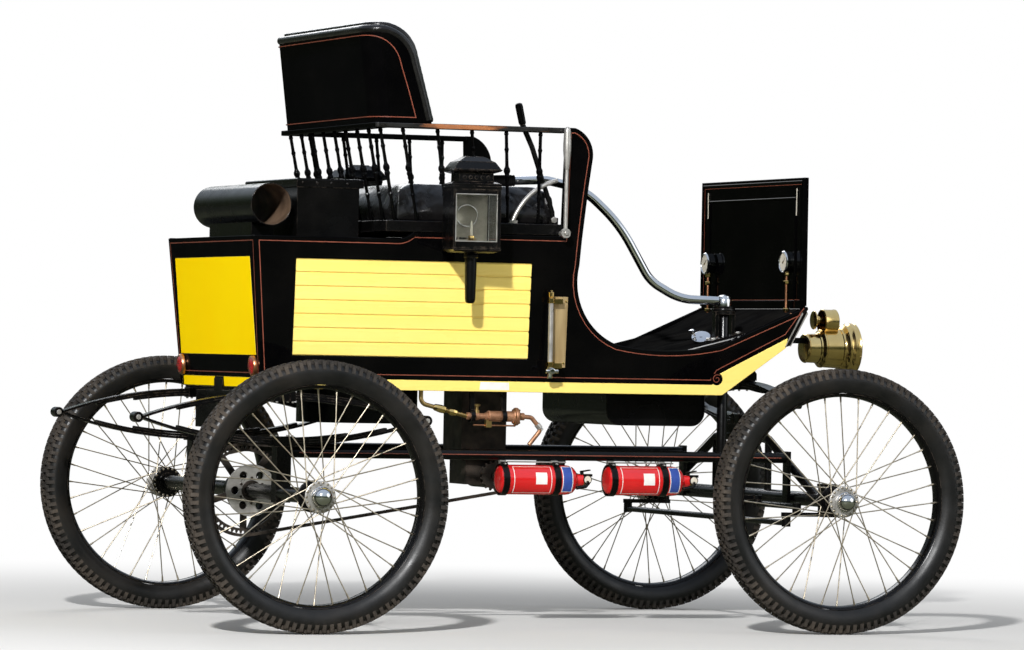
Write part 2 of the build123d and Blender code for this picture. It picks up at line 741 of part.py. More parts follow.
def extinguisher_brackets():
    """Strap bands round the bottles and plates up to the reach tube."""
    parts = []
    inner, outer = EXTINGUISHER_R + 0.3, EXTINGUISHER_R + 3
    for x0, x1 in EXTINGUISHERS:
        for x in (x0 + 55, x0 + 150):
            band = rod((x - 8, -REACH_Y, EXTINGUISHER_Z), (x + 8, -REACH_Y, EXTINGUISHER_Z), outer)
            top = REACH_Z - REACH_R - 0.3
            band += block(x - 8, x + 8, -REACH_Y - 8, -REACH_Y + 8, EXTINGUISHER_Z + 30, top)
            band -= rod((x - 9, -REACH_Y, EXTINGUISHER_Z), (x + 9, -REACH_Y, EXTINGUISHER_Z), inner)
            parts.append(band)
    return Compound(children=parts)


PEDAL_Y = COLUMN_Y + 63


def controls():
    """Levers and quadrant at the right of the seat, and the pedal on the toe board."""
    y = 38 - SEAT_HALF
    top_z = SEAT_LOW + SEAT_BOARD_T
    black = rod((24, y, top_z + 4), (-79, y, POST_TOP + 58), 6.5)
    boss = block(12, 36, y - 6.5, y + 6.5, top_z + BOARD_GAP, top_z + 20)
    quadrant_y = y - 14
    arc = ThreePointArc((-96, quadrant_y, top_z + 4), (-52, quadrant_y, top_z + 73),
                        (30, quadrant_y, top_z + 118))
    start = Plane(origin=arc @ 0, z_dir=arc % 0)
    quadrant = sweep(start * Circle(6), path=arc)
    quadrant += block(-112, -84, quadrant_y - 6, quadrant_y + 6, top_z + BOARD_GAP, top_z + 8)
    outside = -(half_width(POST_TOP) + 12)
    grip_low = POST_TOP - 283
    grey = rod((37, outside, POST_TOP - 100), (36, outside, grip_low), 5)
    grip = turned([(0, 6), (12, 9), (50, 11), (80, 10), (115, 6.5)], (37, outside, POST_TOP + 2),
                  (0, 0, -1))
    pivot = rod((36, outside - 8, grip_low), (36, -(half_width(grip_low + 12) + 0.2), grip_low), 12)
    pedal_x = 508
    foot_z = toe_board_z(pedal_x) + 2.2
    crown = Vector(pedal_x, PEDAL_Y, foot_z + 14)
    plate = Plane(origin=crown, z_dir=(-0.3, -0.5, 0.81)) * extrude(Circle(26), amount=4)
    stalk = rod((pedal_x, PEDAL_Y, foot_z), crown, 7)
    return Compound(children=[black + boss, quadrant, grey + grip + pivot, plate + stalk])


def front_axle():
    """Straight tube with kingpin bosses and a truss that carries the spring perch."""
    tube_end = KINGPIN_Y - 10
    axle = rod((FRONT_X, -tube_end, AXLE_Z), (FRONT_X, tube_end, AXLE_Z), AXLE_R - 1)
    perch_z = FRONT_EYE_Z - FRONT_RISE - CLAMP_T - SHAFT_GAP
    perch = block(FRONT_X - 22, FRONT_X + 22, -70, 70, perch_z - 26, perch_z)
    for side in (-1, 1):
        axle += rod((FRONT_X, side * KINGPIN_Y, AXLE_Z - BOSS_HALF_H),
                    (FRONT_X, side * KINGPIN_Y, AXLE_Z + BOSS_HALF_H), BOSS_R)
        axle += rod((FRONT_X, side * 540, AXLE_Z + 5), (FRONT_X, side * 190, perch_z - 40), 12)
        axle += rod((FRONT_X, side * 190, perch_z - 40), (FRONT_X, 0, perch_z - 26), 12)
        axle += rod((FRONT_X, side * 190, AXLE_Z), (FRONT_X, side * 190, perch_z - 40), 10)
    axle += perch
    for side in (-1, 1):
        bore = rod((FRONT_X, side * KINGPIN_Y, AXLE_Z - BOSS_HALF_H - 5),
                   (FRONT_X, side * KINGPIN_Y, AXLE_Z + BOSS_HALF_H + 5),
                   KINGPIN_R + RUNNING_FIT)
        axle -= bore
    return axle


def knuckle(side):
    """Yoke round the axle boss with its kingpin, stub axle and steering arm."""
    y = side * KINGPIN_Y
    ear_low = AXLE_Z - BOSS_HALF_H - EAR_GAP
    ear_high = AXLE_Z + BOSS_HALF_H + EAR_GAP
    plate_in, plate_out = y + side * YOKE_Y, y + side * (YOKE_Y + YOKE_T)
    piece = block(FRONT_X - 20, FRONT_X + 20, plate_in, plate_out, ear_low - EAR_T,
                  ear_high + EAR_T)
    for low in (ear_low - EAR_T, ear_high):
        piece += block(FRONT_X - 20, FRONT_X + 20, y, plate_in, low, low + EAR_T)
        piece += rod((FRONT_X, y, low), (FRONT_X, y, low + EAR_T), 20)
    piece += rod((FRONT_X, y, ear_low - 1), (FRONT_X, y, ear_high + 1), KINGPIN_R)
    wheel_y = side * WHEEL_Y
    piece += rod((FRONT_X, plate_out - side, AXLE_Z),
                 (FRONT_X, wheel_y - side * (HUB_INNER_Y + 0.5), AXLE_Z), 20)
    piece += rod((FRONT_X, plate_out - side, AXLE_Z),
                 (FRONT_X, wheel_y + side * STUB_END_Y, AXLE_Z), STUB_R)
    arm_z = ear_low - EAR_T
    piece += block(FRONT_X - ARM_LENGTH, FRONT_X, y - 8, y + 8, arm_z, arm_z + EAR_T)
    piece += rod((FRONT_X - ARM_LENGTH, y, arm_z), (FRONT_X - ARM_LENGTH, y, arm_z + EAR_T), 14)
    return piece


ARM_LOW = AXLE_Z - BOSS_HALF_H - EAR_GAP - EAR_T
ARM_TOP = ARM_LOW + EAR_T


def tie_rod():
    x = FRONT_X - ARM_LENGTH
    piece = rod((x, -KINGPIN_Y, TIE_Z - 4), (x, KINGPIN_Y, TIE_Z - 4), ROD_R)
    for side in (-1, 1):
        piece += rod((x, side * KINGPIN_Y, TIE_Z - 14), (x, side * KINGPIN_Y, ARM_LOW - 0.4), 12)
    return piece


def drag_link():
    """Link from the column's arm to the right knuckle's arm."""
    x = FRONT_X - LINK_LENGTH
    piece = rod((x, -KINGPIN_Y, LINK_Z), (x, COLUMN_Y, LINK_Z), ROD_R)
    piece += rod((x, -KINGPIN_Y, ARM_TOP + 0.4), (x, -KINGPIN_Y, LINK_Z + 10), 12)
    piece += rod((x, COLUMN_Y, LINK_Z - 10), (x, COLUMN_Y, LINK_Z + 10), 12)
    return piece


def tiller():
    """Column, lower arm, head and the curved tiller with its grip."""
    arm_z = LINK_Z + 10.5
    piece = rod((COLUMN_X, COLUMN_Y, arm_z), (COLUMN_X, COLUMN_Y, TILLER_Z + 11), COLUMN_R)
    piece += block(COLUMN_X, COLUMN_X + COLUMN_ARM, COLUMN_Y - 9, COLUMN_Y + 9, arm_z, arm_z + 12)
    piece += rod((COLUMN_X + COLUMN_ARM, COLUMN_Y, arm_z), (COLUMN_X + COLUMN_ARM, COLUMN_Y,
                 arm_z + 12), 14)
    run = ((0, 0, 0), (-123, 20, 3), (-203, 40, 51), (-286, 62, 203), (-383, 88, 297),
           (-488, 112, 320), (-568, 130, 316))
    route = [(COLUMN_X + x, COLUMN_Y + y, TILLER_Z + z) for x, y, z in run]
    radii = [150, 110, 400, 180, 120]
    piece += bent_tube(route, radii, 12)
    piece += rod((COLUMN_X - 567, COLUMN_Y + 129.8, TILLER_Z + 316),
                 (COLUMN_X - 653, COLUMN_Y + 148, TILLER_Z + 313), 16)
    return piece


def tiller_column():
    """Foot bracket on the toe board, with two uprights and a collar for the column."""
    z = toe_board_z(COLUMN_X)
    fit = COLUMN_R + 0.08
    slope = 0.25
    foot = [(COLUMN_X - 45, z - 45 * slope + 0.3), (COLUMN_X + 45, z + 45 * slope + 0.6),
            (COLUMN_X + 45, z + 45 * slope + 10), (COLUMN_X - 45, z - 45 * slope + 9)]
    piece = side_prism(polygon(*foot), COLUMN_Y - 26, COLUMN_Y + 26)
    for x in (COLUMN_X - 24, COLUMN_X + 24):
        piece += block(x - 5, x + 5, COLUMN_Y - 12, COLUMN_Y + 12, z + 8, z + 84)
    piece += rod((COLUMN_X, COLUMN_Y, z + 70), (COLUMN_X, COLUMN_Y, z + 92), 30)
    return piece - rod((COLUMN_X, COLUMN_Y, z - 60), (COLUMN_X, COLUMN_Y, z + 100), fit)


def leaf_pack(half_span, rise, way):
    """Half an elliptic spring in its own X and Z, eyes at zero height, bowed up or down."""
    radius = (half_span ** 2 + rise ** 2) / (2 * rise)
    pieces = []
    for n in range(LEAVES):
        outer = radius + (n + 1) * LEAF_T - LEAVES * LEAF_T
        inner = outer - LEAF_T
        span = half_span * (1 - 0.27 * (LEAVES - 1 - n))
        ang = asin(span / radius)
        centre_z = rise - radius
        a0 = (-outer * sin(ang), centre_z + outer * cos(ang))
        a1 = (0, centre_z + outer)
        a2 = (outer * sin(ang), centre_z + outer * cos(ang))
        b0 = (-inner * sin(ang), centre_z + inner * cos(ang))
        b1 = (0, centre_z + inner)
        b2 = (inner * sin(ang), centre_z + inner * cos(ang))
        flip = [(x, way * z) for x, z in (a0, a1, a2, b2, b1, b0)]
        a0, a1, a2, b2, b1, b0 = flip
        pieces.append(make_face([ThreePointArc(a0, a1, a2), Line(a2, b2),
                                 ThreePointArc(b2, b1, b0), Line(b0, a0)]))
    return pieces


def elliptic_spring(half_span, rise, width):
    """Full elliptic spring centred on its eyes, standing in X and Z."""
    spring = None
    for way in (1, -1):
        for face in leaf_pack(half_span, rise, way):
            leaf = side_prism(face, -width / 2, width / 2)
            spring = leaf if spring is None else spring + leaf
        clamp_z = way * (rise - LEAVES * LEAF_T / 2)
        half_h = LEAVES * LEAF_T / 2 + CLAMP_T
        spring += block(-30, 30, -width / 2 - 4, width / 2 + 4, clamp_z - half_h, clamp_z + half_h)
    for side in (-1, 1):
        spring += rod((side * half_span, -width / 2, 0), (side * half_span, width / 2, 0), EYE_R)
    return spring


def rear_springs():
    """Both rear springs and the bolster across the body that they carry."""
    spring = Pos(REAR_X, -SPRING_Y, REAR_EYE_Z) * elliptic_spring(REAR_EYE_X, REAR_RISE, SPRING_W)
    top = REAR_EYE_Z + REAR_RISE + CLAMP_T
    bolster = block(REAR_X - 28, REAR_X + 28, -SPRING_Y - SPRING_W / 2 - 2,
                    SPRING_Y + SPRING_W / 2 + 2, top - 1, SILL_BOTTOM)
    return spring + mirrored(spring) + bolster


def front_spring():
    """Transverse spring over the front axle, with the block that carries the nose."""
    spring = Rot(0, 0, 90) * elliptic_spring(FRONT_EYE_Y, FRONT_RISE, SPRING_W)
    spring = Pos(FRONT_X, 0, FRONT_EYE_Z) * spring
    top = FRONT_EYE_Z + FRONT_RISE + CLAMP_T
    x0, x1 = TOE_FLOOR_X + 70, FRONT_X + 16
    slope = (TOE_UNDER[1] - SILL_BOTTOM) / (TOE_UNDER[0] - TOE_FLOOR_X)
    base = SILL_BOTTOM - SHAFT_GAP
    nose = [(x0, top - 1), (x1, top - 1), (x1, top + 18),
            (TOE_UNDER[0] - 6, base + (TOE_UNDER[0] - 6 - TOE_FLOOR_X) * slope),
            (x0 + 8, base + (x0 + 8 - TOE_FLOOR_X) * slope)]
    block_piece = side_prism(polygon(*nose), -60, 60)
    return spring + block_piece


def reach_frame():
    """Two reach tubes between the axles, with end plates against the axles."""
    rear_end = REAR_X + 20 + SHAFT_GAP
    front_end = FRONT_X - AXLE_R + 1 - SHAFT_GAP
    tubes = []
    for side in (-1, 1):
        y = side * REACH_Y
        tube = rod((rear_end, y, REACH_Z), (front_end, y, REACH_Z), REACH_R)
        tube += block(front_end - 10, front_end, y - 18, y + 18, AXLE_Z - 16, REACH_Z + 18)
        tubes.append(tube)
    return Compound(children=tubes)


def axle_sprocket():
    """Large chain wheel with windows between its arms."""
    low, high = CHAIN_Y - 3, CHAIN_Y + 3
    wheel = toothed(SPROCKET_R, 7, SPROCKET_TEETH, low, high, REAR_X, AXLE_Z)
    wheel -= rod((REAR_X, low - 1, AXLE_Z), (REAR_X, high + 1, AXLE_Z), SPROCKET_WINDOW_R)
    wheel += rod((REAR_X, low, AXLE_Z), (REAR_X, high, AXLE_Z), 50)
    for n in range(SPROCKET_ARMS):
        arm = block(45, SPROCKET_WINDOW_R + 2, low, high, -9, 9)
        wheel += Pos(REAR_X, 0, AXLE_Z) * Rot(0, 90 - 360 * n / SPROCKET_ARMS, 0) * arm
    return wheel


def rear_axle():
    """Axle tube with stubs, spring perches, sprocket, brake disc and end flanges."""
    end = WHEEL_Y - HUB_INNER_Y - 0.5
    axle = rod((REAR_X, -end, AXLE_Z), (REAR_X, end, AXLE_Z), AXLE_R)
    axle += rod((REAR_X, -WHEEL_Y - STUB_END_Y, AXLE_Z), (REAR_X, WHEEL_Y + STUB_END_Y, AXLE_Z),
                STUB_R)
    perch_top = REAR_EYE_Z - REAR_RISE - CLAMP_T - SHAFT_GAP
    for side in (-1, 1):
        y = side * SPRING_Y
        axle += block(REAR_X - 20, REAR_X + 20, y - 22, y + 22, AXLE_Z - 24, perch_top)
    disc = rod((REAR_X, DISC_Y - 4, AXLE_Z), (REAR_X, DISC_Y + 4, AXLE_Z), DISC_R)
    for n in range(DISC_HOLES):
        angle = 2 * pi * n / DISC_HOLES
        x, z = REAR_X + 46 * cos(angle), AXLE_Z + 46 * sin(angle)
        disc -= rod((x, DISC_Y - 5, z), (x, DISC_Y + 5, z), DISC_HOLE_R)
    axle += disc
    axle += rod((REAR_X, CHAIN_Y - 30, AXLE_Z), (REAR_X, CHAIN_Y + 60, AXLE_Z), 40)
    return axle + axle_sprocket()


def drive_chain():
    """Roller chain as a closed band from the crank sprocket to the axle sprocket."""
    def loop(offset):
        big = Pos(REAR_X, AXLE_Z) * Circle(SPROCKET_R + offset)
        small = Pos(CRANK_X, CRANK_Z) * Circle(CRANK_SPROCKET_R + offset)
        return make_hull([*big.edges(), *small.edges()])

    return side_prism(loop(9) - loop(0.6), CHAIN_Y - 6, CHAIN_Y + 6)


PUMP_Y = 37 - BOTTOM_HALF
PUMP_Z = SILL_BOTTOM - 66


def feed_pump():
    """Copper and brass pump along the car, hung from the floor, with its pipes."""
    y, z = PUMP_Y, PUMP_Z
    roof = SILL_BOTTOM - BOARD_GAP
    pump = turned([(0, 9), (60, 9), (61, 15), (136, 15), (137, 24), (147, 24), (148, 10),
                   (165, 10)], (-200, y, z), (1, 0, 0))
    for x in (-185, -95):
        pump += block(x - 6, x + 6, y - 6, y + 6, z, roof)
    pump += bent_tube([(-200, y, z), (-330, y, z + 32), (-330, y, roof)], [20], 6)
    pump += bent_tube([(-36, y, z), (-14, y, z - 2), (14, y, z - 34), (-20, y, z - 76)],
                      [12, 12], 6)
    return pump


def tyre():
    """Tyre about the wheel axis, out to the tips of its tread."""
    half = TYRE_HALF_WIDTH
    right = [(BEAD_R + RIM_GAP, BEAD_HALF_WIDTH), (BEAD_R + 12, half - 6), (BEAD_R + 30, half),
             (SHOULDER_R - 12, half - 3), (SHOULDER_R, half - 4), (TYRE_R, TREAD_HALF_WIDTH + 4)]
    left = [(r, -y) for r, y in reversed(right)]
    return ring(right + left, 0)


def wire_wheel(cap_r):
    """Rim, crossed spokes and hub in one piece; the outside faces -Y."""
    rim = ring([(RIM_INNER_R, -10), (RIM_INNER_R + 5, -RIM_HALF_WIDTH + 3),
                (BEAD_R - 1, -RIM_HALF_WIDTH), (BEAD_R, -RIM_HALF_WIDTH + 2),
                (BEAD_R, RIM_HALF_WIDTH - 2), (BEAD_R - 1, RIM_HALF_WIDTH),
                (RIM_INNER_R + 5, RIM_HALF_WIDTH - 3), (RIM_INNER_R, 10)], 0)
    f0, f1 = HUB_FLANGE_Y - HUB_FLANGE_T / 2, HUB_FLANGE_Y + HUB_FLANGE_T / 2
    hub = turned([(-HUB_INNER_Y, HUB_R + 4), (-f1, HUB_R + 4), (-f1, HUB_FLANGE_R),
                  (-f0, HUB_FLANGE_R), (-f0, HUB_R), (f0, HUB_R), (f0, HUB_FLANGE_R),
                  (f1, HUB_FLANGE_R), (f1, cap_r), (HUB_CAP_Y - 12, cap_r - 2),
                  (HUB_CAP_Y - 3, cap_r - 12), (HUB_CAP_Y, 8)], (0, 0, 0), (0, -1, 0))
    wheel = hub + rim
    spokes = []
    for n in range(SPOKE_COUNT):
        side = 1 if n % 2 else -1
        lead = SPOKE_CROSS if (n // 2) % 2 else -SPOKE_CROSS
        rim_angle = radians(360 * n / SPOKE_COUNT)
        hub_angle = rim_angle + radians(lead)
        foot = ((HUB_FLANGE_R - 5) * cos(hub_angle), side * HUB_FLANGE_Y,
                (HUB_FLANGE_R - 5) * sin(hub_angle))
        head = ((RIM_INNER_R + 3) * cos(rim_angle), side * 5, (RIM_INNER_R + 3) * sin(rim_angle))
        spokes.append(square_bar(foot, head, SPOKE_WIDTH))
    wheel = wheel + spokes
    bore = rod((0, HUB_INNER_Y + 1, 0), (0, -STUB_END_Y - 2, 0), STUB_R + RUNNING_FIT)
    return wheel - bore


WHEELS = (  # name, X, side of the car (-1 right), hub cap radius
    ("rear_right", REAR_X, -1, REAR_CAP_R),
    ("rear_left", REAR_X, 1, REAR_CAP_R),
    ("front_right", FRONT_X, -1, FRONT_CAP_R),
    ("front_left", FRONT_X, 1, FRONT_CAP_R),
)


def build():
    nodes = {
        "side_panels": side_panels(), "body_insets": body_insets(), "rear_panel": rear_panel(),
        "rear_deck": rear_deck(), "sill_boards": sill_boards(), "body_floor": body_floor(),
        "toe_board": toe_board(), "dash": dash(), "dash_gauges": dash_gauges(),
        "seat_box": seat_box(), "seat_cushion": seat_cushion(), "seat_back": seat_back(),
        "seat_back_pad": seat_back_pad(), "seat_rail": seat_rail(), "smoke_box": smoke_box(),
        "flue": flue(), "boiler": boiler(), "engine": engine(), "under_tank": under_tank(),
        "headlamp": headlamp(), "side_lamps": side_lamps(), "lamp_glass": lamp_glass(),
        "water_gauge": water_gauge(), "reflectors": reflectors(), "number_plate": number_plate(),
        "extinguishers": extinguishers(), "extinguisher_brackets": extinguisher_brackets(),
        "controls": controls(), "front_axle": front_axle(), "knuckle_right": knuckle(-1),
        "knuckle_left": knuckle(1), "tie_rod": tie_rod(), "drag_link": drag_link(),
        "tiller": tiller(), "tiller_column": tiller_column(), "rear_springs": rear_springs(),
        "front_spring": front_spring(), "reach_frame": reach_frame(), "rear_axle": rear_axle(),
        "drive_chain": drive_chain(), "feed_pump": feed_pump(),
    }
    wheels = {cap: wire_wheel(cap) for cap in (REAR_CAP_R, FRONT_CAP_R)}
    round_tyre = tyre()
    for name, x, side, cap in WHEELS:
        place = Pos(x, side * WHEEL_Y, AXLE_Z) * Rot(0, 0, 0 if side < 0 else 180)
        nodes["wheel_" + name] = place * wheels[cap]
        nodes["tyre_" + name] = place * round_tyre
    return nodes


os.makedirs("parts", exist_ok=True)
for node, piece in build().items():
    export_step(Pos(-ORIGIN_X, 0, 0) * piece, f"parts/{node}.step")
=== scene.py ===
import json
from math import acos, asin, atan2, copysign, cos, hypot, pi, radians, sin, tan, tau

import bmesh
import bpy
from mathutils import Matrix, Vector

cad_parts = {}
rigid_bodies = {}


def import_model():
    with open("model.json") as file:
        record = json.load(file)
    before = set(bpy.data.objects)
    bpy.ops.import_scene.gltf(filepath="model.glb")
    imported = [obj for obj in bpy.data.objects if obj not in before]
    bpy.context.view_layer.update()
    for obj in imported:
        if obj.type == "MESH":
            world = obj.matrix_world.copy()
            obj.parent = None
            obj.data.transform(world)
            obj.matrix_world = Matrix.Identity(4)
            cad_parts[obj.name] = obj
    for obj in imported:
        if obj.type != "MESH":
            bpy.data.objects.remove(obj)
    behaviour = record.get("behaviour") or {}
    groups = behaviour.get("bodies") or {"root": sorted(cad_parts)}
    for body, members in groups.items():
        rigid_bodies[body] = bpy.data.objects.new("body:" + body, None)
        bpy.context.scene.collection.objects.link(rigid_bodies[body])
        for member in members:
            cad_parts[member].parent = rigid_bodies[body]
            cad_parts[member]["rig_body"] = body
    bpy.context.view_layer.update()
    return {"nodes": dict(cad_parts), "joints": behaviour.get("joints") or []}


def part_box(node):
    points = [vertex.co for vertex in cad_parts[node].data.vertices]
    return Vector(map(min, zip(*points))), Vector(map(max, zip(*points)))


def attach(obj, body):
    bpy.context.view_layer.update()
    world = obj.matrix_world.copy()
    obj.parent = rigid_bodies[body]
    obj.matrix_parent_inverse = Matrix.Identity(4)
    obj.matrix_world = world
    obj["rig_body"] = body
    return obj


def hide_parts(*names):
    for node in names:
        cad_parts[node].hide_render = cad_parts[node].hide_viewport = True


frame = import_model()

# Places read from the frame, in metres
JOINTS = {j["name"]: Vector(j["pos_m"]) for j in frame["joints"]}
MID_X = (JOINTS["spin_rear_right"].x + JOINTS["spin_front_right"].x) / 2
TO_METRES = Matrix.Scale(0.001, 4)
MIDDLE = Matrix.Translation((MID_X, 0, 0)) @ TO_METRES

# Camera fitted to the four wheels in the photograph, in millimetres and degrees
CAMERA_MM = (-5343, -14686, 748)
CAMERA_TURN = (20.15, -0.24, 1.07)
CAMERA_LENS, CAMERA_SENSOR = 200, 36

# Body, in millimetres from the middle of the wheelbase, as are all shapes below
BOTTOM_HALF, FLARE, PANEL_BOTTOM = 365, 0.075, 660
REAR_LEAN, REAR_FOOT = 34 / 388, -793
ALONG, ACROSS, UP = (1, 0, 0), (0, 1, 0), (0, 0, 1)
RIGHT = (0, -1, 0)
ORIGIN = BLACK = (0, 0, 0)
WHITE = (1, 1, 1)
SATIN = "black_satin"
SCENE = bpy.context.scene
SIDES = (-1, 1)


def half_width(z):
    return BOTTOM_HALF + FLARE * (z - PANEL_BOTTOM)


def rear_x(z):
    return REAR_FOOT - REAR_LEAN * (z - PANEL_BOTTOM)


# Materials

class Nodes:
    """A node tree with short calls: an input is linked to a socket, or set to a value."""

    def __init__(self, owner, shader="Principled BSDF"):
        owner.use_nodes = True
        self.owner, self.tree = owner, owner.node_tree
        self.shader = self.tree.nodes[shader]
        self.coord = self.add("TexCoord").outputs

    def put(self, node, inputs):
        for key, value in inputs.items():
            socket = node.inputs[key]
            if isinstance(value, bpy.types.NodeSocket):
                self.tree.links.new(value, socket)
            else:
                socket.default_value = (*value, 1) if socket.type == "RGBA" else value

    def add(self, kind, inputs=None, **settings):
        node = self.tree.nodes.new("ShaderNode" + kind)
        for key, value in settings.items():
            setattr(node, key, value)
        self.put(node, inputs or {})
        return node

    def look(self, inputs):
        """Fills the shader's inputs, and gives the material."""
        self.put(self.shader, inputs)
        return self.owner

    def noise(self, scale, detail=4, stretch=None):
        place = self.coord["Object"]
        if stretch:
            place = self.add("Mapping", {"Vector": place, "Scale": stretch}).outputs[0]
        return self.add("TexNoise", {"Vector": place, "Scale": scale, "Detail": detail,
                                     "Roughness": 0.55}).outputs["Fac"]

    def cells(self, scale, **settings):
        return self.add("TexVoronoi", {"Vector": self.coord["Object"], "Scale": scale},
                        **settings).outputs["Distance"]

    def ramp(self, fac, *stops):
        node = self.add("ValToRGB", {"Fac": fac})
        elements = node.color_ramp.elements
        for k, (place, color) in enumerate(stops):
            stop = elements[k] if k < 2 else elements.new(place)
            stop.position, stop.color = place, (*color, 1)
        return node.outputs["Color"]

    def mix(self, fac, a, b):
        return self.add("Mix", {0: fac, 6: a, 7: b}, data_type="RGBA").outputs[2]

    def either(self, fac, a, b):
        """One shader, or the other where fac is 1."""
        return self.add("MixShader", {0: fac, 1: a, 2: b}).outputs[0]

    def spread(self, fac, low, high, start=0.3, end=0.7, **settings):
        return self.add("MapRange", {"Value": fac, "From Min": start, "From Max": end,
                                     "To Min": low, "To Max": high}, **settings).outputs["Result"]

    def bump(self, height, distance, strength=1.0, under=None):
        inputs = {"Height": height, "Distance": distance, "Strength": strength}
        if under:
            inputs["Normal"] = under
        return self.add("Bump", inputs).outputs["Normal"]

    def calc(self, operation, a, b):
        return self.add("Math", {0: a, 1: b}, operation=operation).outputs[0]

    def edges(self):
        """1 on worn edges, 0 on flat faces."""
        bevel = self.add("Bevel", {"Radius": 0.002}, samples=4).outputs["Normal"]
        flat = self.add("NewGeometry").outputs["Normal"]
        dot = self.add("VectorMath", {0: bevel, 1: flat}, operation="DOT_PRODUCT")
        return self.spread(dot.outputs["Value"], 0, 1, 0.995, 0.85)


def new_look(name):
    return Nodes(bpy.data.materials.new(name))


def finish(name, dark, light, grain, rough, bump=0.0, bump_scale=400, metallic=0.0, coat=0.0,
           coat_rough=0.03, wear=None, stretch=None, specular=0.5, dust=None, dust_amount=0.5):
    """A surface with colour variation, uneven gloss, fine relief, dust and worn edges."""
    n = new_look(name)
    color = n.ramp(n.noise(grain, 5, stretch), (0.3, dark), (0.7, light))
    gloss = n.spread(n.noise(grain * 0.6 + 3, 6, stretch), *rough)
    if dust:
        color = n.mix(n.ramp(n.noise(9, 7), (0.45, BLACK), (0.8, (dust_amount,) * 3)), color, dust)
    if wear:
        patchy = n.ramp(n.noise(60, 6), (0.42, BLACK), (0.62, WHITE))
        color = n.mix(n.calc("MULTIPLY", n.edges(), patchy), color, wear)
    inputs = {"Base Color": color, "Roughness": gloss, "Metallic": metallic, "Coat Weight": coat,
              "Coat Roughness": coat_rough, "Specular IOR Level": specular}
    if bump:
        inputs["Normal"] = n.bump(n.noise(bump_scale, 3, stretch), bump)
    return n.look(inputs)


def worn_rail():
    """Black paint rubbed through to orange wood."""
    n = new_look("worn_rail")
    bare = n.ramp(n.noise(30, 6, (0.15, 1, 1)), (0.3, (0.24, 0.075, 0.025)),
                  (0.7, (0.50, 0.20, 0.075)))
    where = n.ramp(n.noise(5, 7, (0.6, 1.5, 3)), (0.49, BLACK), (0.56, (0.9, 0.9, 0.9)))
    return n.look({"Base Color": n.mix(where, (0.006, 0.005, 0.0045), bare),
                   "Roughness": n.spread(n.noise(40, 5), 0.25, 0.5),
                   "Normal": n.bump(n.noise(90, 5, (0.2, 1, 1)), 0.0003),
                   "Coat Weight": 0.3, "Coat Roughness": 0.15})


def leather():
    """Black leather: creased grain over soft sheen."""
    n = new_look("black_leather")
    grain = n.bump(n.cells(330, feature="DISTANCE_TO_EDGE"), 0.0006, 0.5)
    return n.look({"Normal": n.bump(n.noise(38, 6), 0.0022, 0.6, grain),
                   "Base Color": n.ramp(n.noise(14, 6), (0.3, (0.003, 0.003, 0.003)),
                                        (0.75, (0.009, 0.008, 0.008))),
                   "Roughness": n.spread(n.noise(20, 5), 0.2, 0.36),
                   "Specular IOR Level": 0.3, "Coat Weight": 0.2, "Coat Roughness": 0.14})


def red_lens():
    """Moulded red reflector with a fine prism pattern."""
    n = new_look("red_reflector_lens")
    prisms = n.cells(420)
    red = n.ramp(prisms, (0, (0.5, 0.01, 0.01)), (1, (0.16, 0.002, 0.002)))
    return n.look({"Base Color": red, "Normal": n.bump(prisms, 0.001), "Roughness": 0.15,
                   "Coat Weight": 1.0})


def glass():
    n = new_look("old_clear_glass")
    return n.look({"Normal": n.bump(n.noise(25, 2), 0.0006, 0.4), "Roughness": 0.03,
                   "Base Color": n.ramp(n.noise(30, 4), (0.3, (0.9, 0.93, 0.9)),
                                        (0.8, (0.97, 0.98, 0.97))),
                   "Transmission Weight": 1.0, "IOR": 1.3})


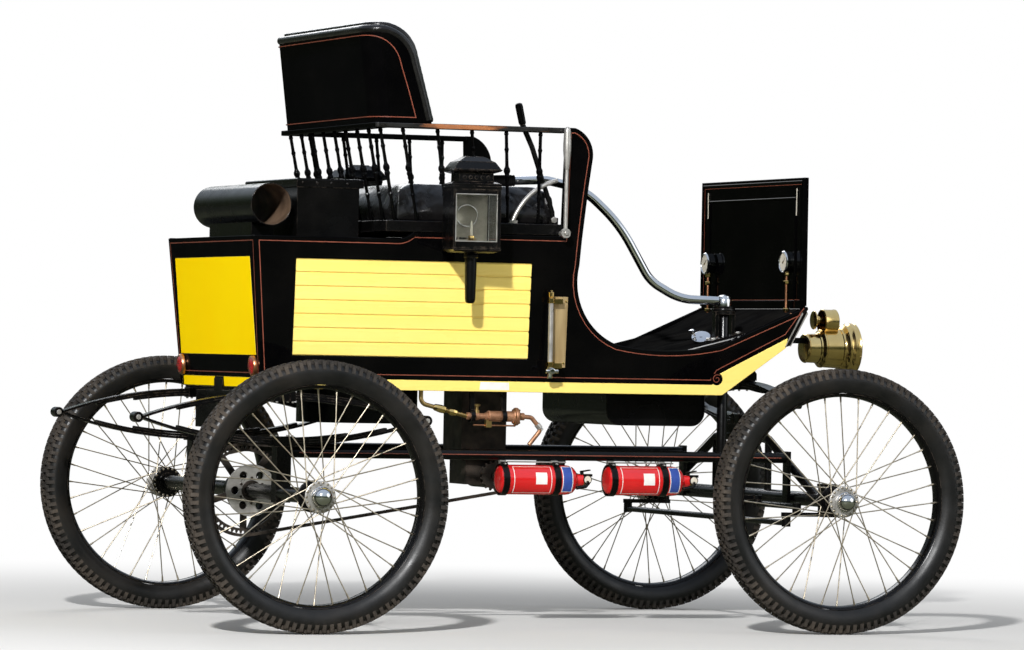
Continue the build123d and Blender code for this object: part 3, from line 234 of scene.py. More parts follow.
M = {
    "black_paint": finish(
        "black_coach_paint", (0.0006, 0.0006, 0.0008), (0.0015, 0.0014, 0.0016), 3, (0.08, 0.16),
        coat=0.18, bump=0.00004, bump_scale=90, dust=(0.05, 0.045, 0.035), dust_amount=0.03,
        specular=0.0),
    SATIN: finish(
        "black_satin_enamel", (0.001, 0.001, 0.0013), (0.003, 0.0029, 0.003), 12, (0.16, 0.32),
        bump=0.0002, bump_scale=160, wear=(0.09, 0.07, 0.055), dust=(0.05, 0.04, 0.03),
        dust_amount=0.05, specular=0.22),
    # One yellow paint in two copies: the paler side copy is painted sunlight, and the stronger
    # rear copy is painted light, brightened to make up for the weaker light on the rear.
    "yellow_side": finish(
        "pale_yellow_painted_sunlight", (0.87, 0.665, 0.15), (0.91, 0.705, 0.19), 2.5, (0.22, 0.34),
        coat=0.25, coat_rough=0.08, bump=0.0001, bump_scale=30, stretch=(1, 1, 6), specular=0.3),
    "painted_light_rear_yellow": finish(
        "strong_yellow_painted_light", (1.0, 0.66, 0.001), (1.0, 0.71, 0.002), 2.5, (0.2, 0.32),
        coat=0.1, coat_rough=0.06, bump=0.00008, bump_scale=30, specular=0.0),
    "stripe": finish("copper_coach_line", (0.15, 0.034, 0.018), (0.25, 0.065, 0.036), 40,
                     (0.3, 0.45), coat=0.3),
    "leather": leather(),
    "worn_rail": worn_rail(),
    "board": finish(
        "dark_painted_board", (0.012, 0.011, 0.010), (0.03, 0.027, 0.024), 8, (0.4, 0.6),
        bump=0.0002, bump_scale=120, dust=(0.14, 0.12, 0.09), dust_amount=0.3),
    "mat": finish(
        "black_rubber_mat", (0.004, 0.004, 0.0043), (0.010, 0.010, 0.010), 14, (0.4, 0.6),
        bump=0.0004, bump_scale=40, dust=(0.08, 0.07, 0.055), dust_amount=0.06, specular=0.0),
    "brass": finish("polished_brass", (0.72, 0.49, 0.17), (0.86, 0.63, 0.27), 18, (0.10, 0.24),
                    metallic=1.0, bump=0.00003, bump_scale=60),
    "old_brass": finish("dull_brass", (0.42, 0.27, 0.09), (0.66, 0.46, 0.2), 25, (0.25, 0.45),
                        metallic=1.0, bump=0.00006, bump_scale=90),
    "copper": finish("worn_copper", (0.45, 0.18, 0.08), (0.75, 0.36, 0.2), 30, (0.22, 0.4),
                     metallic=1.0),
    "bronze": finish("cast_bronze", (0.22, 0.10, 0.05), (0.52, 0.27, 0.15), 60, (0.35, 0.6),
                     metallic=0.6, bump=0.0004, bump_scale=120),
    "chrome": finish("bright_plate", (0.60, 0.60, 0.61), (0.70, 0.70, 0.70), 20, (0.05, 0.14),
                     metallic=1.0),
    "steel": finish("bare_steel", (0.36, 0.34, 0.31), (0.56, 0.54, 0.51), 35, (0.25, 0.45),
                    metallic=0.7, bump=0.00008, bump_scale=150),
    "spoke": finish("weathered_spoke_steel", (0.24, 0.20, 0.145), (0.50, 0.44, 0.34), 50,
                    (0.28, 0.45), metallic=0.85),
    "iron": finish("oily_iron", (0.012, 0.010, 0.008), (0.06, 0.045, 0.034), 28, (0.35, 0.6),
                   metallic=0.5, bump=0.0004, bump_scale=130),
    "soot": finish("rusty_soot", (0.035, 0.018, 0.009), (0.16, 0.10, 0.06), 14, (0.5, 0.8),
                   bump=0.0006, bump_scale=90),
    "red": finish("red_enamel", (0.52, 0.008, 0.010), (0.62, 0.014, 0.014), 6, (0.12, 0.22),
                  coat=0.8),
    "red_lens": red_lens(),
    "label": finish("plain_label", (0.68, 0.66, 0.62), (0.8, 0.78, 0.74), 30, (0.3, 0.45)),
    "label_blue": finish("plain_label_band", (0.02, 0.05, 0.25), (0.03, 0.08, 0.34), 30,
                         (0.3, 0.45)),
    "cream": finish("cream_strip", (0.55, 0.5, 0.4), (0.72, 0.67, 0.56), 50, (0.35, 0.5)),
    "rubber": finish(
        "tyre_rubber", (0.003, 0.003, 0.003), (0.009, 0.0085, 0.008), 16, (0.3, 0.5),
        bump=0.0002, bump_scale=200, dust=(0.05, 0.038, 0.028), dust_amount=0.22, specular=0.35),
    "tread": finish(
        "dusty_tread", (0.012, 0.0105, 0.009), (0.034, 0.028, 0.023), 60, (0.55, 0.85),
        bump=0.0006, bump_scale=300, dust=(0.13, 0.10, 0.072), dust_amount=0.5, specular=0.3),
    "plate": finish("pale_brass_plate", (0.28, 0.19, 0.08), (0.46, 0.34, 0.17), 30, (0.25, 0.45),
                    metallic=0.3, stretch=(1, 1, 0.15)),
    "liner": finish("lamp_liner", (0.20, 0.18, 0.14), (0.40, 0.37, 0.30), 20, (0.3, 0.5),
                    metallic=0.5),
    "glass": glass(),
}


# Mesh making

def angles(n, start=0.0):
    return [tau * (k + start) / n for k in range(n)]


def around(origin, direction, n):
    """A line's start and direction, and n unit vectors that point away from it."""
    axis = Vector(direction).normalized()
    side = axis.orthogonal().normalized()
    up = axis.cross(side)
    return Vector(origin), axis, [side * cos(a) + up * sin(a) for a in angles(n)]


class Shape:
    """Collects closed pieces in millimetres; place puts them in the frame as one object.

    Points are counted from the origin, which may move between pieces."""

    def __init__(self, place=MIDDLE, origin=ORIGIN):
        self.bm, self.slots, self.place = bmesh.new(), [], place
        self.origin = Vector(origin)

    def slot(self, material):
        if material not in self.slots:
            self.slots.append(material)
        return self.slots.index(material)

    def add(self, verts, faces, material):
        index = self.slot(material)
        made = [self.bm.verts.new(self.origin + Vector(v)) for v in verts]
        for f in faces:
            self.bm.faces.new([made[i] for i in f]).material_index = index

    def loft(self, rings, material=SATIN, closed=False):
        """Joins rings of points one after the other; both ends are capped unless they meet."""
        count, n, faces = len(rings), len(rings[0]), []
        for i in range(count if closed else count - 1):
            a, b = i * n, (i + 1) % count * n
            faces += [(a + k, a + (k + 1) % n, b + (k + 1) % n, b + k) for k in range(n)]
        if not closed:
            faces += [range(n - 1, -1, -1), range((count - 1) * n, count * n)]
        self.add([p for ring in rings for p in ring], faces, material)

    def lathe(self, profile, origin, direction, n, material=SATIN):
        """Turns (distance along, radius) pairs about a line, closed at both ends."""
        origin, axis, outs = around(origin, direction, n)
        self.loft([[origin + axis * d + out * r for out in outs] for d, r in profile], material)

    def ring(self, section, origin, direction, n, material=SATIN):
        """Turns a closed section of (distance along, radius) pairs about a line."""
        origin, axis, outs = around(origin, direction, n)
        self.loft([[origin + axis * d + out * r for d, r in section] for out in outs],
                  material, True)

    def tube(self, points, radius, n, material=SATIN):
        """A round tube through points; radius is one value or one for each point."""
        points = [Vector(p) for p in points]
        radii = radius if isinstance(radius, list) else [radius] * len(points)
        rings, side = [], None
        for before, p, after, r in zip(points[:1] + points, points, points[1:] + points[-1:],
                                       radii):
            along = (after - before).normalized()
            side = along.orthogonal() if side is None else side - along * side.dot(along)
            side.normalize()
            up = along.cross(side)
            rings.append([p + (side * cos(a) + up * sin(a)) * r for a in angles(n)])
        self.loft(rings, material)

    def prism(self, outline, shift, material=SATIN):
        """A closed outline of points, extruded by a vector."""
        points, n = [Vector(p) for p in outline], len(outline)
        self.add(points + [p + Vector(shift) for p in points],
                 [range(n - 1, -1, -1), range(n, 2 * n),
                  *((k, (k + 1) % n, n + (k + 1) % n, n + k) for k in range(n))], material)

    def box(self, low, high, material=SATIN):
        (x0, y0, z0), (x1, y1, z1) = low, high
        self.prism([(x0, y0, z0), (x1, y0, z0), (x1, y1, z0), (x0, y1, z0)], (0, 0, z1 - z0),
                   material)

    def cad(self, node, material=SATIN):
        """The faces of a CAD node."""
        mesh = frame["nodes"][node].data
        self.add([(v.co - Vector((MID_X, 0, 0))) * 1000 for v in mesh.vertices],
                 [p.vertices for p in mesh.polygons], material)
        bmesh.ops.remove_doubles(self.bm, verts=self.bm.verts, dist=0.01)
        bmesh.ops.dissolve_limit(self.bm, angle_limit=radians(1.0), verts=self.bm.verts,
                                 edges=self.bm.edges)

    def paint(self, chooser):
        """Gives each face the material that chooser names, if it names one."""
        for face in self.bm.faces:
            face.normal_update()
            material = chooser(face)
            if material:
                face.material_index = self.slot(material)

    def done(self, name, nodes=(), slot=None, bevel=0.0, segments=2, angle=30, body="chassis"):
        bmesh.ops.transform(self.bm, matrix=self.place, verts=self.bm.verts)
        bmesh.ops.recalc_face_normals(self.bm, faces=self.bm.faces)
        mesh = bpy.data.meshes.new(name)
        self.bm.to_mesh(mesh)
        self.bm.free()
        for material in self.slots:
            mesh.materials.append(M[material])
        obj = placed(name, mesh)
        mesh.polygons.foreach_set("use_smooth", [True] * len(mesh.polygons))
        mesh.set_sharp_from_angle(angle=radians(angle))
        if bevel:
            soften(obj, bevel, segments)
        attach(obj, body)
        if nodes:
            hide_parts(*nodes)

    def skin(self, node, *rest, **more):
        """The one piece that stands for a CAD node and rides its body."""
        self.done(node + "_skin", [node], *rest, body=frame["nodes"][node]["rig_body"], **more)


def placed(name, data):
    """A new object in the scene."""
    obj = bpy.data.objects.new(name, data)
    SCENE.collection.objects.link(obj)
    return obj


def soften(obj, width, segments):
    bevel = obj.modifiers.new("bevel", "BEVEL")
    bevel.width, bevel.segments = width, segments
    bevel.limit_method, bevel.angle_limit = "ANGLE", radians(35)
    bevel.use_clamp_overlap, bevel.harden_normals = True, False
    obj.modifiers.new("normals", "WEIGHTED_NORMAL").keep_sharp = True


def dressed(node, material, slot, bevel, chooser=None):
    """A copy of a CAD node with joined facets, softened edges and its finish."""
    shape = Shape()
    shape.cad(node, material)
    if chooser:
        shape.paint(lambda face: chooser(face.calc_center_median(), face.normal))
    shape.skin(node, slot, bevel)


# Wheels and tyres, in millimetres from their centres

PITCHES = 104
CARCASS = [(25.5, 290.7), (30, 296), (34.5, 303), (37.5, 313), (38.8, 324), (37.6, 333),
           (34, 339.5), (28.5, 343.5), (15, 345.5), (0, 346)]
LUGS = (  # start and end along the tread, start and end across it, height above the carcass
    (0.10, 0.62, 1.4, 11.6, 9.5), (0.60, 1.12, -11.6, -1.4, 9.5),
    (0.06, 0.64, 14.6, 27.2, 8.5), (0.06, 0.64, -27.2, -14.6, 8.5))
FLANGE = [(29, 40), (30, 42), (34, 42), (35, 40)]


def wheel_point(angle, across, radius):
    return Vector((cos(angle) * radius, across, sin(angle) * radius))


def lug(shape, start, end, corners):
    """A tread block between two angles; corners hold (across, low radius, high radius)."""
    verts, faces, n = [], [], len(corners)
    inset = 0.08 * (end - start)
    for a0, a1, top in ((start, end, 0), (start + inset, end - inset, 1)):
        for across, *radii in corners:
            y = across - (copysign(0.4, across) if top else 0)
            verts += [wheel_point(a, y, radii[top]) for a in (a0, a1)]
    for a in range(0, 2 * n - 2, 2):
        b = 2 * n + a
        faces += [(b, b + 2, b + 3, b + 1), (a, a + 2, b + 2, b), (a + 1, b + 1, b + 3, a + 3)]
    faces += [(0, 2 * n, 2 * n + 1, 1), (2 * n - 2, 2 * n - 1, 4 * n - 1, 4 * n - 2),
              (*range(2 * n - 2, -1, -2), *range(1, 2 * n, 2))]
    shape.add(verts, faces, "tread")


def tyre(shape):
    section = CARCASS + [(-d, r) for d, r in reversed(CARCASS[:-1])]
    shape.ring(section, ORIGIN, ACROSS, 2 * PITCHES, "rubber")
    step = tau / PITCHES
    for n in range(PITCHES):
        for a0, a1, y0, y1, height in LUGS:
            top = (346 if max(abs(y0), abs(y1)) < 20 else 345.5) + height
            lug(shape, (n + a0) * step, (n + a1) * step, [(y0, 342.5, top), (y1, 342.5, top)])
        for side in SIDES:
            lug(shape, (n + 0.56) * step, (n + 1.10) * step,
                [(side * 27.6, 340, 353.5), (side * 34.5, 336, 350), (side * 39.3, 330, 337)])


def spokes(shape, count=36, cross=60):
    for n, rim_angle in enumerate(angles(count)):
        side = 1 if n % 2 else -1
        lead = cross if (n // 2) % 2 else -cross
        hub = wheel_point(rim_angle + radians(lead), side * 32, 38)
        rim = wheel_point(rim_angle, side * 4, 283.5)
        shape.tube([hub, hub + (rim - hub) * 0.02, rim], 1.65, 8, "spoke")
        along = (rim - hub).normalized()
        shape.lathe([(0, 2.2), (12, 2.8), (18, 2.8)], rim - along * 18, along, 8, "spoke")
        shape.lathe([(0, 3.2), (1.5, 3.4), (3, 1.6)], hub + Vector((0, side * 2.8, 0)),
                    (0, side, 0), 8, "spoke")


def wheel(shape, cap_r):
    """Rim, spokes, flanged hub and domed cap; the outside faces -Y."""
    rim = [(10, 280), (16, 281.2), (22.5, 284.5), (25.5, 287.5), (26.8, 289.5), (25.5, 289.8)]
    shape.ring([(-d, r) for d, r in rim] + rim[::-1], ORIGIN, ACROSS, 144)
    spokes(shape)
    shape.ring([(-45, 15.05), (-45, 21), (-44, 26), (-36, 26.5)] +
               [(-d, r) for d, r in reversed(FLANGE)] +
               [(-28.5, 27), (-20, 22.5), (-20, 15.05)], ORIGIN, RIGHT, 48)
    shape.ring([(-20, 15.05), (-20, 22.4), (20, 22.5), (28.5, 27)] + FLANGE +
               [(35.5, 34), (35.5, 15.05)], ORIGIN, RIGHT, 48, "steel")
    cap = [(44.5, 0.5), (44.5, 15.05), (35.6, 15.05), (35.6, cap_r - 2), (36.6, cap_r),
           (48, cap_r), (49.5, cap_r - 1.5), (52, cap_r - 2)]
    for k in range(1, 9):
        a = k / 16 * pi
        cap.append((52 + 22.5 * sin(a), max((cap_r - 2) * cos(a), 0.5)))
    shape.lathe(cap, ORIGIN, RIGHT, 48, "chrome")
    for a in angles(6, 0.5):
        shape.lathe([(34, 4), (37.5, 4), (38.5, 3)], wheel_point(a, 0, 34.5), RIGHT, 6, "steel")


def wheels():
    for name in ("rear_right", "rear_left", "front_right", "front_left"):
        centre = JOINTS["spin_" + name]
        turn = Matrix.Rotation(pi if centre.y > 0 else 0, 4, "Z")
        for kind, slot in (("tyre", "rubber"), ("wheel", "black_metal")):
            shape = Shape(Matrix.Translation(centre) @ turn @ TO_METRES)
            if kind == "tyre":
                tyre(shape)
            else:
                wheel(shape, 28 if "rear" in name else 26)
            node = f"{kind}_{name}"
            shape.skin(node, slot)


# Flat work: coach lines, painted panels and boards

def arc3(a, b, c, n=10):
    """Points on the arc through three 2-D points."""
    a, b, c = Vector(a), Vector(b), Vector(c)
    d = 2 * (a.x * (b.y - c.y) + b.x * (c.y - a.y) + c.x * (a.y - b.y))
    squares = a.length_squared, b.length_squared, c.length_squared
    gaps = b - c, c - a, a - b
    centre = Vector((sum(s * g.y for s, g in zip(squares, gaps)) / d,
                     -sum(s * g.x for s, g in zip(squares, gaps)) / d))
    start, middle, end = (atan2(*(p - centre).yx) for p in (a, b, c))
    turn = (end - start) % tau
    if (middle - start) % tau > turn:
        turn -= tau
    ways = [start + turn * k / n for k in range(n + 1)]
    return [tuple(centre + Vector((cos(w), sin(w))) * (a - centre).length) for w in ways]


SUNK = -0.2  # how deep painted work reaches into its board


def offset_path(points, distance, closed=True):
    """2-D points moved to the left of their line, with mitred corners."""
    out, count = [], len(points)
    for i, p in enumerate(points):
        p = Vector(p)
        ways = []
        if i or closed:
            ways.append((p - Vector(points[i - 1])).normalized())
        if i < count - 1 or closed:
            ways.append((Vector(points[(i + 1) % count]) - p).normalized())
        normals = [Vector((-w.y, w.x)) for w in ways]
        middle = sum(normals, Vector((0, 0))).normalized()
        out.append(tuple(p + middle * distance / max(middle.dot(normals[0]), 0.35)))
    return out


def painted_line(shape, points, place, width=2.4, closed=True, material="stripe", height=0.4):
    """A painted line through 2-D points; place(u, v, out) puts a point on the surface."""
    left = offset_path(points, width / 2, closed)
    right = offset_path(points, -width / 2, closed)
    shape.loft([[place(*a, SUNK), place(*a, height), place(*b, height), place(*b, SUNK)]
                for a, b in zip(left, right)], material, closed)


def on_side(side):
    return lambda x, z, out: (x, side * (half_width(z) + out), z)


def on_rear(y, z, out):
    return (rear_x(z) - out, y, z)


def patch(shape, corners, place, material, height=0.5):
    """A painted field standing a hair proud of its board."""
    shape.loft([[place(u, v, out) for u, v in corners] for out in (SUNK, height)], material)


# The coach line's panel, then the lines and fields on the body and the seat back
PANEL = [(rear_x(660), 660), (495, 660), (514, 690), (711, 791), (768, 871), (765, 878),
         *arc3((514, 767), (360, 750), (213, 764)), *arc3((213, 764), (117, 842), (94, 975))[1:],
         *arc3((94, 975), (104, 1120), (118, 1255))[1:],
         *arc3((118, 1255), (107, 1311), (66, 1343))[1:],
         (40, 1343), (40, 1052.5), *arc3((-384, 1052.5), (-399, 1041.5), (-422, 1035)),
         (rear_x(1035), 1035)]
LINE_IN = 13
SILL_FIELDS = ((41, 329), (-274, -42))
BACK_REAR, BACK_HALF, BACK_BEND, BACK_LEAN, BACK_FOOT = -500, 400, 60, 29 / 239, 1343.3
BACK_FLAT, BACK_BOARD = BACK_HALF - BACK_BEND, 14.3


def coach_lines():
    shape = Shape()
    for side in SIDES:
        place = on_side(side)
        painted_line(shape, offset_path(PANEL, LINE_IN), place)
        curl = [(507 + 17 * cos(a), 676 + 17 * sin(a)) for a in angles(24)]
        patch(shape, curl, place, "black_paint", 0.45)
        scroll = [(507 + r * cos(a), 676 + r * sin(a))
                  for r, a in ((3 + 0.46 * k, radians(150 - 21 * k)) for k in range(23))]
        painted_line(shape, scroll, place, 2.0, closed=False, height=0.8)
        strap = [(703, 766), (720, 771), (766, 858), (757, 876)]
        patch(shape, strap, place, SATIN, 1.6)
        shape.tube([(-690, side * 393.8, 464), (690, side * 393.8, 464)], 1.3, 8, "stripe")
        for u0, u1 in ((703, 706), (717, 720)):
            patch(shape, [(u0, 768), (u1, 769), (u1 + 45, 857), (u0 + 46, 862)], place, "steel",
                  2.2)
    rear = [(way * (half_width(z) - 14), z) for way, z in
            ((-1, 672), (1, 672), (1, 1022), (-1, 1022))]
    painted_line(shape, rear, on_rear)
    # A pale patch on the near sill in the plain label finish: a painted highlight.
    patch(shape, [(-177, 637), (-92, 637), (-94, 657), (-175, 658)], on_side(-1), "label", 0.5)
    # Rear sill fields in the stronger copy of the yellow: painted light that brightens the rear.
    for y0, y1 in SILL_FIELDS:
        patch(shape, [(y0, 634), (y1, 634), (y1, 659), (y0, 659)], on_rear, "painted_light_rear_yellow")
    border = [(-354, 897), (354, 897), (354, 1213), (-354, 1213)]
    painted_line(shape, border, lambda y, z, out: (755 - out, y, z), 1.5)
    painted_line(shape, border, lambda y, z, out: (764 + out, y, z), 2.4)
    for half, low, high in ((357, 885, 1221), (312, 897, 1176)):
        shape.tube([(753.5, -half, low), (753.5, -half, high), (753.5, half, high),
                    (753.5, half, low)], 3.2, 10, "black_paint")
    for side in SIDES:
        patch(shape, [(side * 318, 1128), (side * 323, 1128), (side * 325, 1202),
                      (side * 320, 1202)], lambda y, z, out: (752 - out, y, z), "cream")
    painted_line(shape, back_line(), on_back, height=2.0)
    shape.done("coach_lines")


def on_back(u, z, out):
    """A point on the seat back: u runs round it from the middle of its rear face."""
    reach = abs(u) - BACK_FLAT
    turn = min(max(reach / BACK_BEND, 0), pi / 2)
    ahead = max(reach - BACK_BEND * pi / 2, 0)
    out += 2.5 * sin(2 * turn)
    x = BACK_REAR + BACK_BEND - (BACK_BEND + out) * cos(turn) + ahead
    y = min(abs(u), BACK_FLAT) + (BACK_BEND + out) * sin(turn)
    return (x - BACK_LEAN * (z - BACK_FOOT), copysign(y, u), z)


def round_back(x, z):
    """How far round the seat back a point of its side view lies."""
    x += BACK_LEAN * (z - BACK_FOOT)
    bend = BACK_REAR + BACK_BEND
    if x >= bend:
        return BACK_FLAT + BACK_BEND * pi / 2 + x - bend
    return BACK_FLAT + BACK_BEND * acos(min((bend - x) / BACK_BEND, 1))


def back_line():
    """The coach line's way round the seat back and its wings."""
    edge = [(-384, 1358), (-407, 1433)] + arc3((-429, 1500), (-456, 1548), (-515, 1573), 14)
    right = [(-round_back(x, z), z) for x, z in edge]
    foot = right[0][0]
    low = [(foot * (1 - 2 * k / 60), 1358) for k in range(1, 60)]
    top = [(right[-1][0] * (1 - k / 40), 1573) for k in range(1, 80)]
    left = [(-u, z) for u, z in reversed(right)]
    return right + top + left + list(reversed(low))


def inset_paint(centre, normal):
    """The rear inset in the stronger copy of the yellow, brightened as painted light; the rest in
    the paler copy, painted sunlight.
    """
    return "painted_light_rear_yellow" if centre.x < -720 and abs(normal.x) > 0.7 else "yellow_side"


def sill_paint(centre, normal):
    # Black at the rear; elsewhere the paler copy of the yellow, painted sunlight.
    return "black_paint" if centre.x < -785 and abs(centre.y) < 362 else "yellow_side"


def flue_paint(centre, normal):
    """Soot and rust inside the tube."""
    out = Vector((centre.x + 738, 0, centre.z - 1121))
    return "soot" if out.dot(normal) < 0 and out.length < 56 else SATIN


def mat():
    """Smooth rubber mat on the toe board, in three widths."""
    shape = Shape()
    steps = [60 + 15 * k for k in range(46)]
    for y0, y1 in ((-346, -116), (-113, 113), (116, 346)):
        low = [(x, y0, toe_z(x) - 1) for x in steps]
        high = [(x, y0, toe_z(x) + 2.3 + 0.5 * sin(x * 0.031 + y0)) for x in steps]
        shape.prism(low + high[::-1], (0, y1 - y0, 0), "mat")
        for y in (y0 + 9, y1 - 9):
            shape.tube([(x, y, toe_z(x) + 2.4) for x in steps[1:-1]], 1.6, 6, "mat")
    shape.tube([(x, -349.5, toe_z(x) + 0.4) for x in steps], 2.4, 8, "steel")
    shape.done("mat_sheet")


def toe_z(x):
    spans = ((40, 745), (400, 745), (619, 801), (762, 872))
    for (xa, za), (xb, zb) in zip(spans, spans[1:]):
        if x <= xb:
            return za + (zb - za) * (x - xa) / (xb - xa)
    return 872


# Seat

def seat_rail():
    shape = Shape()
    low, high = 1329, 1343
    y_out, y_in, x0, x1 = 414, 378, -500, 39.7
    path = [(x1, -y_out), (x0 + 6, -y_out), (x0, -y_out + 6), (x0, y_out - 6),
            (x0 + 6, y_out), (x1, y_out), (x1, y_in), (x0 + 46, y_in), (x0 + 46, -y_in),
            (x1, -y_in)]
    shape.prism([(x, y, low) for x, y in path], (0, 0, high - low), "black_paint")
    shape.paint(lambda face: "worn_rail" if face.calc_center_median().y < -y_in - 1 else None)
    profile = [(0, 4.6), (0.02, 5.6), (0.05, 4.4), (0.24, 3.9), (0.265, 5.2), (0.28, 6.4),
               (0.295, 5.2), (0.31, 4.2), (0.44, 4.8), (0.475, 5.6), (0.49, 7.6), (0.505, 8.0),
               (0.52, 6.4), (0.53, 6.0), (0.54, 8.2), (0.56, 9.2), (0.58, 8.4), (0.6, 5.6),
               (0.62, 4.8), (0.75, 4.4), (0.775, 5.2), (0.79, 6.8), (0.805, 5.2), (0.82, 4.6),
               (0.94, 4.6), (0.955, 6.6), (0.97, 5.4), (1.0, 4.5)]
    ends = [((-372 + 86 * n, side * 388), (-420 + 98 * n, side * 396))
            for side in SIDES for n in range(5)]
    ends += [((-432, y * 0.99), (-480, y)) for y in ((n / 8 - 0.5) * 772 for n in range(9))]
    for foot, head in ends:
        a, b = Vector((*foot, 1084.9)), Vector((*head, low + 4))
        length = (b - a).length
        shape.lathe([(d * length, r) for d, r in profile], a, b - a, 20, "black_paint")
    shape.skin("seat_rail", "rail_wood", 0.0025, 3)


CLOTH_FRAMES = 20


def stuffed(node, pull, pressure, name, is_held):
    """A leather pad filled by cloth pressure, held where its board is."""
    mesh = frame["nodes"][node].data.copy()
    obj = placed(name, mesh)
    low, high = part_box(node)
    centre = (low + high) / 2
    for v in mesh.vertices:
        for k in range(3):
            v.co[k] = centre[k] + (v.co[k] - centre[k]) * pull[k]
    remesh = obj.modifiers.new("remesh", "REMESH")
    remesh.mode = "VOXEL"
    remesh.voxel_size = 0.006
    apply_modifiers(obj)
    held = obj.vertex_groups.new(name="held")
    foot = min(v.co.z for v in obj.data.vertices)
    held.add([v.index for v in obj.data.vertices if is_held(v.co, foot)], 1.0, "REPLACE")
    cloth = obj.modifiers.new("cloth", "CLOTH")
    for key, value in dict(quality=5, mass=0.3, tension_stiffness=12,
                           compression_stiffness=12, bending_stiffness=0.6,
                           use_pressure=True, uniform_pressure_force=pressure,
                           vertex_group_mass="held").items():
        setattr(cloth.settings, key, value)
    cloth.settings.effector_weights.gravity = 0
    cloth.collision_settings.use_self_collision = False
    cloth.point_cache.frame_end = CLOTH_FRAMES
    for n in range(1, CLOTH_FRAMES + 1):
        SCENE.frame_set(n)
    apply_modifiers(obj)
    SCENE.frame_set(1)
    return obj


def apply_modifiers(obj):
    depsgraph = bpy.context.evaluated_depsgraph_get()
    mesh = bpy.data.meshes.new_from_object(obj.evaluated_get(depsgraph), depsgraph=depsgraph)
    obj.modifiers.clear()
    old = obj.data
    obj.data = mesh
    bpy.data.meshes.remove(old)


def limit_to(obj, low, high):
    """Keeps a stuffed pad inside a box by easing what stands out of it."""
    for v in obj.data.vertices:
        v.co = [min(max(c, a), b) for c, a, b in zip(v.co, low, high)]


def upholstery(obj, node):
    obj.data.materials.clear()
    obj.data.materials.append(M["leather"])
    obj.data.polygons.foreach_set("use_smooth", [True] * len(obj.data.polygons))
    sub = obj.modifiers.new("smooth", "SUBSURF")
    sub.levels = sub.render_levels = 1
    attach(obj, "chassis")
    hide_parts(node)


def seat_pads():
    cushion = stuffed("seat_cushion", (0.99, 0.99, 0.93), 3.0, "seat_cushion_pad",
                      lambda co, foot: co.z < foot + 0.012)
    low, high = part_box("seat_cushion")
    shift = low.z + 0.0005 - min(v.co.z for v in cushion.data.vertices)
    for v in cushion.data.vertices:
        v.co.z += shift
    limit_to(cushion, low - Vector((0.004, 0.002, 0)), high + Vector((0.003, 0.002, 0.009)))
    upholstery(cushion, "seat_cushion")
    back = stuffed("seat_back_pad", (0.995, 0.99, 0.985), 2.6, "seat_back_cushion", held_back)
    low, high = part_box("seat_back_pad")
    limit_to(back, low, high + Vector((0.010, 0.0, 0.010)))
    upholstery(back, "seat_back_pad")
    back_roll()


def back_roll():
    """Leather roll over the edge of the seat back, from one wing round to the other."""
    shape = Shape()
    edge = [(-346, 1352), (-368, 1433)] + arc3((-391, 1508), (-423, 1565), (-500, 1590), 14)
    right = [(-round_back(x, z), z) for x, z in edge]
    top = [(right[-1][0] * (1 - k / 30), 1590) for k in range(1, 60)]
    way = right + top + [(-u, z) for u, z in reversed(right)]
    shape.tube([on_back(u, z, -8) for u, z in way], 11.5, 16, "leather")
    shape.done("seat_back_roll")


def held_back(co, foot):
    """Where the back pad lies against its board."""
    board = BACK_REAR - BACK_LEAN * (co.z * 1000 - BACK_FOOT) + BACK_BOARD
    return (co.x - MID_X) * 1000 < board + 14 or abs(co.y) * 1000 > BACK_HALF - BACK_BOARD - 12


# Lamps

LAMP_CX, LAMP_CY, LAMP_Z, LAMP_TURN = -249.5, 478.5, 1000, 6
LAMP_TIERS = (  # widths at the foot and the top, then heights from the lamp's foot
    (98, 112, 0, 3), (120, 131, 3, 8), (131.5, 131.5, 8, 12), (128, 128, 11, 16),
    (124, 124, 160, 167), (127, 129, 163, 168), (130, 131.5, 168, 176), (128, 129, 176, 183),
    (129, 96, 183, 189), (94, 93, 187, 213), (98, 122, 211, 215), (124, 131, 215, 218),
    (132, 132, 218, 221), (128, 102, 221, 240), (100, 100, 240, 242), (95, 54, 242, 254),
    (50, 48, 254, 256))


